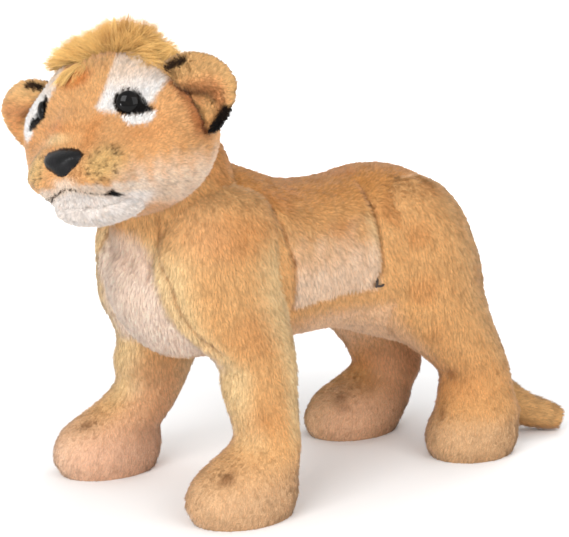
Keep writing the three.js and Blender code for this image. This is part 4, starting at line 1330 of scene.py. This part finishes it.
def in_locks(roots, guides, rng, close, loose):
    """Strands that each follow the nearest guide and draw together towards its tip."""
    near = guides[nearest_of(guides[:, 0], roots)[0]]
    share = np.linspace(0, 1, guides.shape[1])[None, :, None]
    scale = rng.uniform(0.72, 1.12, (len(roots), 1, 1))
    gap = (near[:, 0] - roots)[:, None]
    spread = rng.normal(size=(len(roots), 1, 3)) * loose
    return roots[:, None] + (near - near[:, :1]) * scale + gap * close * share ** 1.4 + spread * share


def dropped(places):
    """The highest skin under each place across and along, in the head's frame."""
    roots, facing = [], []
    for x, y in places:
        found = [form.tree.ray_cast(Vector((x, y, 160)), Vector((0, 0, -1)))[:2] for form in (mane, head)]
        near, normal = max((hit for hit in found if hit[0] is not None), key=lambda hit: hit[0].z)
        roots.append(near)
        facing.append(normal)
    return np.array(roots), np.array(facing)


def hairline(x):
    """The hairline lies further forward on the right side, and draws back above both ears."""
    return -29 - 13 * step(8, -14, x) + 10 * step(36, 66, x) + 16 * step(-26, -56, x)


def crown_places(count, rng):
    """Places on the crown, behind the hairline."""
    spots = np.stack([rng.uniform(-41, 70, count), rng.uniform(-50, 32, count)], 1)
    x, y = spots.T
    return spots[(y > hairline(x)) & (np.hypot((x - 5) / 65, (y + 4) / 37) < 1)]


whorl = 13


def combed(roots, facing):
    """The mane is combed away from a whorl above the left brow, and down towards both ears."""
    away = roots[:, 0] - whorl
    fall = step(6, 56, np.abs(away))
    ahead = step(-14, -40, roots[:, 1])
    left = step(14, -14, away)
    rise = 0.52 * left - (0.56 - 0.36 * left) * fall
    rise = rise + 0.6 * np.exp(-(away / 12) ** 2) - 0.30 * step(4, 24, away)
    flat = np.stack([np.tanh(away / 12), -0.05 - 0.35 * ahead, rise], 1)
    return flat + (0.10 + 0.16 * left)[:, None] * facing


def outward_of(facing):
    """Hair shades as the crown under it does, turned a little forward and up."""
    return unit(facing + (0, -0.3, 0.4)) @ head_turn


mane_top, wisp_top = 456.5, 459.3
guide_count, strand_count, bang_count, bang_hairs, flyaway_count = 900, 36000, 120, 3000, 2200
rng = np.random.default_rng(151)
head_turn = head_matrix[:3, :3].T
guide_roots, guide_facing = dropped(crown_places(guide_count, rng))
count = len(guide_roots)
starts = combed(guide_roots, guide_facing) + 0.17 * rng.normal(size=(count, 3))
lengths = rng.uniform(17, 27, count)
lengths = lengths - 4 * step(-14, -38, guide_roots[:, 0]) - 8 * step(12, 34, guide_roots[:, 0])
guides = curved(guide_roots, starts, lengths, droop=0.09, curl=0.07, rng=rng)
roots, facing = dropped(crown_places(strand_count, rng))
paths = in_locks(roots - facing, guides, rng, close=0.42, loose=2.8)
low = from_head(paths)[..., 2].max(1) < mane_top
paths, roots, facing, count = paths[low], roots[low], facing[low], int(low.sum())
tints = mane_paint(roots, facing) * (1 + 0.10 * rng.normal(size=count))[:, None]
# Painted shade: hair at the front of the crown, under the lock that hangs over the hairline, and where the
# hair parts at the whorl, is painted darker.
under = step(-24, -36, roots[:, 1]) * step(4, 20, roots[:, 0])
parting_painted_shade = np.exp(-((roots[:, 0] - whorl) / 7) ** 2)
tints = over(tints, 0.55 * np.maximum(under, 0.8 * parting_painted_shade), shade(164, 104, 46))
# The mane's strands are painted darker at the root than other hairs, as deeper painted shade in the mane.
strands("mane_strands", from_head(paths), rng.uniform(0.3, 0.46, count), tints, outward_of(facing),
        seed=152, root=0.62)

# %% [markdown]
# Each wisp has its place, the way it starts, its length, its hairs' width, their number and their spread.
# The bangs hang over the hairline in small locks. Flyaway hairs stand out by themselves.

# %% Bangs, wisps and flyaway hairs
wisps = []
for place, start, length, width, count, spread in (
    ((10, -14), (-0.05, 0.0, 1.0), 26, 0.4, 150, 3.0), ((36, -14), (0.5, 0.0, 0.7), 15, 0.4, 60, 4.0),
    ((52, -12), (0.9, 0.0, 0.75), 24, 0.4, 70, 5.0), ((60, -6), (0.9, -0.1, 0.45), 26, 0.4, 60, 5.0),
    ((-34, -14), (-1.0, -0.1, 0.22), 28, 0.3, 70, 6.0), ((-40, -8), (-1.0, 0.0, 0.0), 28, 0.3, 70, 6.0),
    ((-20, -20), (-0.9, -0.2, 0.45), 30, 0.4, 60, 6.0),
):
    base, out = dropped(np.array(place) + rng.normal(size=(count, 2)) * spread)
    middle, _ = dropped([place])
    start, length = np.array([start]), np.array([float(length)])
    guide = curved(middle, start, length, droop=0.05, curl=0.10, rng=rng, steps=6)
    wisps.append((in_locks(base - out, guide, rng, close=0.8, loose=1.6), out, width))
bang_width, flyaway_width = 0.36, 0.24
across = rng.uniform(-19, 46, bang_count)
base, out = dropped(np.stack([across, hairline(across) + rng.uniform(0, 8, bang_count)], 1))
starts = np.stack([-0.06 + 0.012 * base[:, 0], np.full(bang_count, -0.72), np.full(bang_count, -0.62)], 1)
starts = starts + 0.14 * out + 0.16 * rng.normal(size=(bang_count, 3))
reach = rng.uniform(16, 32, bang_count) - 12 * step(4, 22, base[:, 0])
guide = curved(base, starts, reach, droop=0.07, curl=0.05, rng=rng, steps=6)
across = rng.uniform(-21, 47, bang_hairs)
base, out = dropped(np.stack([across, hairline(across) + rng.uniform(-1, 9, bang_hairs)], 1))
wisps.append((in_locks(base, guide, rng, close=0.6, loose=1.4), out, bang_width))
base, out = dropped(crown_places(flyaway_count, rng))
starts = combed(base, out) + 0.30 * rng.normal(size=(len(base), 3))
reach = rng.uniform(22, 38, len(base))
wisps.append((curved(base, starts, reach, droop=0.06, curl=0.05, rng=rng, steps=6), out, flyaway_width))
paths = np.vstack([path for path, _, _ in wisps])
facing = np.vstack([out for _, out, _ in wisps])
widths = np.hstack([np.full(len(path), width) for path, _, width in wisps])
low = from_head(paths)[..., 2].max(1) < wisp_top
paths, facing, widths = paths[low], facing[low], widths[low]
tints = np.tile(shade(232, 188, 118), (len(paths), 1)) * (1 + 0.10 * rng.normal(size=len(paths)))[:, None]
strands("mane_wisps", from_head(paths), widths, tints, outward_of(facing), seed=153)


# %% [markdown]
# Short black hairs mark the ears' rims and the corners of the mouth, and draw the line of the mouth.

# %% Black tufts on the ears and at the mouth, and the mouth line
def tuft(name, roots, facing, starts, length, width, tint, body, seed):
    """Short hairs of one colour and width, each starting a little its own way."""
    rng = np.random.default_rng(seed)
    count = len(roots)
    tints = np.tile(tint, (count, 1)) * rng.uniform(0.6, 1.5, count)[:, None]
    starts = starts + 0.35 * rng.normal(size=(count, 3))
    lengths = length * rng.uniform(0.7, 1.25, count)
    paths = curved(roots - facing * 0.8, starts, lengths, droop=0, curl=0.12, rng=rng, steps=3)
    strands(name, paths, np.full(count, width), tints, facing, seed=seed, body=body)


for name, side in sides.items():
    rng = np.random.default_rng(180 + side)
    matrix = head_matrix @ ear_matrix(side)
    turn, leaf = matrix[:3, :3].T, ear_form(side)
    top_bar = [(-2, 29), (15, 31)] if side > 0 else [(-1, 26), (15, 27)]
    for label, line, count in (("low", black_bar, 520), ("top", top_bar, 260)):
        line = np.array(line, float)
        share = rng.random(count) * (len(line) - 1)
        middle = np.stack([np.interp(share, range(len(line)), line[:, k]) for k in range(2)], 1)
        middle += rng.normal(size=(count, 2)) * 1.8
        hits = [leaf.tree.find_nearest(Vector((side * u, rng.uniform(-12, 6), v)))[:2] for u, v in middle]
        hits = [hit for hit in hits if label == "top" or side > 0 or hit[1].y > 0.1]
        roots, facing = (np.array([hit[k] for hit in hits]) for k in range(2))
        out = 0.8 * unit(roots * (1, 0, 1) + (-side * 10, -12.0, -2)) + 0.5 * facing
        tuft(f"ear_tuft_{label}_{name}", roots @ turn + matrix[:3, 3], facing @ turn, out @ turn,
             length=5.5, width=0.9, tint=black, body=f"ear_{name}_body", seed=190 + side)


def on_face(places):
    """The points of the head's front at places across and up, and which way they face."""
    hits = []
    for u, z in places:
        found = [form.tree.ray_cast(Vector((u, -200, z)), Vector((0, 1, 0)))[:2] for form in (head, chin)]
        hits.append(min((hit for hit in found if hit[0] is not None), key=lambda hit: hit[0].y))
    return (np.array([hit[k] for hit in hits]) for k in range(2))


rng = np.random.default_rng(171)
corner_hairs, mouth_hairs = 300, 900
for label, side in sides.items():
    across = rng.uniform(0, 1, corner_hairs)
    start = 28.5 if side > 0 else 21.5
    up = -45.3 + 3.6 * across * rng.uniform(-1, 1, corner_hairs)
    roots, facing = on_face(np.stack([side * (start + 7 * across), up], 1))
    aim = facing + np.array([0, -0.1, -0.2])
    tuft(f"mouth_tuft_{label}", from_head(roots), facing @ head_turn, unit(aim) @ head_turn,
         length=2.0, width=0.75, tint=black, body="head_body", seed=172)
across = rng.uniform(-30, 30, mouth_hairs)
across = across[rng.random(len(across)) < 0.25 + 0.75 * step(10, 0, across)]
roots, facing = on_face(np.stack([across, mouth_height(across) + rng.normal(size=len(across)) * 0.45], 1))
level = np.ones(len(across))
slope = np.stack([np.sign(across + 0.01) * 0.9, -0.1 * level, -0.35 * level], 1)
tuft("mouth_line", from_head(roots), facing @ head_turn, unit(slope + 0.7 * facing) @ head_turn,
     length=3.0, width=0.5, tint=shade(50, 38, 30), body="head_body", seed=173)

# %% [markdown]
# ## Eyes, nose and stitch
#
# The safety eyes are low glossy domes, pressed into black plush. The nose is a moulded satin cap,
# broad at the top and blunt at the bottom, with two shallow nostrils.

# %% Eyes and nose
def turned(points):
    """A closed skin turned from a profile of radius and height."""
    profile = np.array(points)

    def point_at(share, angle):
        place = share * (len(profile) - 1)
        radius, height = (np.interp(place, range(len(profile)), profile[:, k]) for k in range(2))
        return np.stack([radius * np.cos(angle), radius * np.sin(angle), height], 1)
    return swept(len(profile) - 1, 64, point_at)


eye_radius, eye_dome, shank_radius, shank_end = 10, 4.8, 3, -17
dome = [(eye_radius * math.cos(a), eye_dome * math.sin(a)) for a in np.linspace(0, math.pi / 2 - 0.01, 24)]
eye = turned([(0.05, shank_end), (shank_radius, shank_end), (shank_radius, -1.6), (9.6, -1.6),
              (eye_radius, -1.2), *dome])
for name, matrix in eyes.items():
    made = placed_form(f"eye_dome_{name}", eye.moved(matrix), "head_body", "eye")
    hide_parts(f"eye_{name}")


def nose_at(share, angle):
    """The nose's cap, broad above and blunt below, with a ridge and two shallow nostrils."""
    open_ = np.maximum(np.sin(share * math.pi / 2), 0.02)
    y = nose_half_height * open_ * np.sin(angle) * (1 - 0.16 * np.clip(np.sin(angle), 0, 1))
    half = np.where(np.cos(angle) > 0, near_half_width, nose_half_width)
    x = half * open_ * (1 + 0.34 * np.sin(angle)) * np.cos(angle) - 0.2 * np.minimum(y, 0)
    across, up = np.abs(x) / nose_half_width, y / nose_half_height
    nostril = np.exp(-((across - 0.5) ** 2 + (up + 0.2) ** 2) / 0.05)
    ridge = 0.8 * np.exp(-((up - 0.45) / 0.3) ** 2)
    z = nose_depth * np.cos(share * math.pi / 2) + (ridge - 1.2 * nostril) * (1 - share)
    return np.stack([x, y, z], 1)


cap = swept(40, 80, nose_at).moved(nose_matrix)
made = placed_form("nose_cap", cap, "head_body", "nose")
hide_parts("nose")
rng, fringe_hairs = np.random.default_rng(161), 700
angles, shares = rng.uniform(0, 2 * math.pi, fringe_hairs), rng.uniform(0.80, 0.98, fringe_hairs)
rim, nose_turn = nose_at(shares, angles), nose_matrix[:3, :3].T
out = unit(rim * (1, 1, 0.4)) @ nose_turn
tuft("nose_fringe", rim @ nose_turn + nose_matrix[:3, 3], out, out,
     length=2.6, width=0.6, tint=black, body="head_body", seed=162)

# %% [markdown]
# A dark thread is knotted where the flank's rear seam ends. Soles, wires, rods and washers stay as
# they were packed, with materials of their own.

# %% Flank stitch, soles and wires
def thread(name, points, radius, body):
    """A round thread through points, with rounded ends."""
    path = np.array(points, float)

    def point_at(share, angle):
        middle = row_at(path, share).T
        ahead = unit(row_at(path, share + 0.01).T - row_at(path, share - 0.01).T)
        aside = unit(np.cross(ahead, (0.1, 0.2, 1.0)))
        lift = np.cross(aside, ahead)
        size = radius * round_end(np.minimum(share, 1 - share) * 20, 3)
        return middle + size[:, None] * (aside * np.cos(angle)[:, None] + lift * np.sin(angle)[:, None])
    return placed_form(name, swept(48, 10, point_at), body, "thread")


seam_end = Vector((76, 118, 189.5))
knot, out = (np.array(part) for part in torso.tree.find_nearest(seam_end)[:2])
stitch = [knot + out * lift + np.array([0, along, 0.10 * along])
          for along, lift in ((-4, 1.5), (-2, 3.4), (0, 4.0), (2, 3.8), (4, 2.4))]
thread("flank_stitch", stitch, radius=1.1, body="torso_body")
upright = [knot + out * lift + np.array([-0.3 * rise - 2.5, -3.4 + 0.45 * rise, rise])
           for rise, lift in ((-1.5, 3.0), (0, 4.2), (2, 4.6), (4, 4.0), (6, 2.6))]
thread("flank_stitch_end", upright, radius=1.3, body="torso_body")
looks = {"sole": "suede", "wire": "wire", "bar": "wire", "washer": "wire"}
for name, node in frame["nodes"].items():
    for word, material in looks.items():
        if word in name:
            node.data.materials.clear()
            node.data.materials.append(materials[material])
print("stitch knotted at:", knot.round(1))

# %% [markdown]
# ## Studio
#
# A pale floor, a soft key light from the front left, a wide fill, and the camera at the photograph's angle.

# %% Floor, lights and camera
def stage_paint(place):
    cloud = place.noise(scale=3.0, detail=2.0)
    away = place.node("ShaderNodeVectorMath", {0: place}, out=1, operation="LENGTH")
    seen = place.node("ShaderNodeLightPath", out="Is Camera Ray") * away.ramp(0.30, 0.95)
    colour = cloud.ramp(0.4, 0.7).between((0.90, 0.90, 0.90, 1), (0.92, 0.92, 0.92, 1))
    return {"Base Color": colour, "Emission Color": seen.grey()}


floor_reach = 9
corners = [(x * floor_reach, y * floor_reach, 0) for x, y in ((-1, -1), (1, -1), (1, 1), (-1, 1))]
floor_mesh = bpy.data.meshes.new("floor")
floor_mesh.from_pydata(corners, [], [(0, 1, 2, 3)])
floor = bpy.data.objects.new("floor", floor_mesh)
bpy.context.scene.collection.objects.link(floor)
floor_mesh.materials.append(new_material("floor_paper", stage_paint, Roughness=0.9, Emission_Strength=1.0))

world = bpy.data.worlds.new("studio")
bpy.context.scene.world = world
world.use_nodes = True
tree = world.node_tree
start = Shade(tree, None)
rays = start.node("ShaderNodeLightPath", out="Is Camera Ray")
glossy = start.node("ShaderNodeLightPath", out="Is Glossy Ray")
seen = start.math("MAXIMUM", rays, glossy)
background = tree.nodes["Background"]
background.inputs["Color"].default_value = (1, 1, 1, 1)
tree.links.new((1 - (1 - seen) * 0.15).socket, background.inputs["Strength"])


def area_light(name, place, target, size, power):
    data = bpy.data.lights.new(name, "AREA")
    data.energy, data.size = power, size
    lamp = bpy.data.objects.new(name, data)
    lamp.location = place
    lamp.rotation_euler = (Vector(target) - Vector(place)).to_track_quat("-Z", "Y").to_euler()
    bpy.context.scene.collection.objects.link(lamp)


area_light("key", (1.2, -2.3, 1.9), (0, 0, 0.25), size=1.6, power=52)
area_light("fill", (2.5, 0.3, 1.2), (0, 0, 0.2), size=1.8, power=26)
area_light("rim", (-0.8, 1.8, 2.2), (0, 0, 0.3), size=1.4, power=16)
area_light("catch", (0.58, -2.05, 0.29), (0.08, -0.22, 0.38), size=0.28, power=7)

azimuth, elevation, distance = math.radians(55), math.radians(13), 1800.0
look = np.array([62.0, 20.0, 215.0])
picture_width, focal_length, film_width = 569, 2000, 36
level = math.cos(elevation)
ahead = np.array([-math.sin(azimuth) * level, math.cos(azimuth) * level, -math.sin(elevation)])
right = np.array([math.cos(azimuth), math.sin(azimuth), 0])
turn = np.stack([right, np.cross(right, ahead), -ahead], 1)
camera_data = bpy.data.cameras.new("camera")
camera_data.sensor_width = film_width
camera_data.lens = focal_length / picture_width * film_width
camera = bpy.data.objects.new("camera", camera_data)
place = (look - distance * ahead + SHIFT) / 1000
camera.matrix_world = Matrix.Translation(place) @ Matrix(turn).to_4x4()
bpy.context.scene.collection.objects.link(camera)
bpy.context.scene.camera = camera
bpy.context.scene.view_settings.view_transform = "Standard"
print("camera at:", np.round(place, 3))
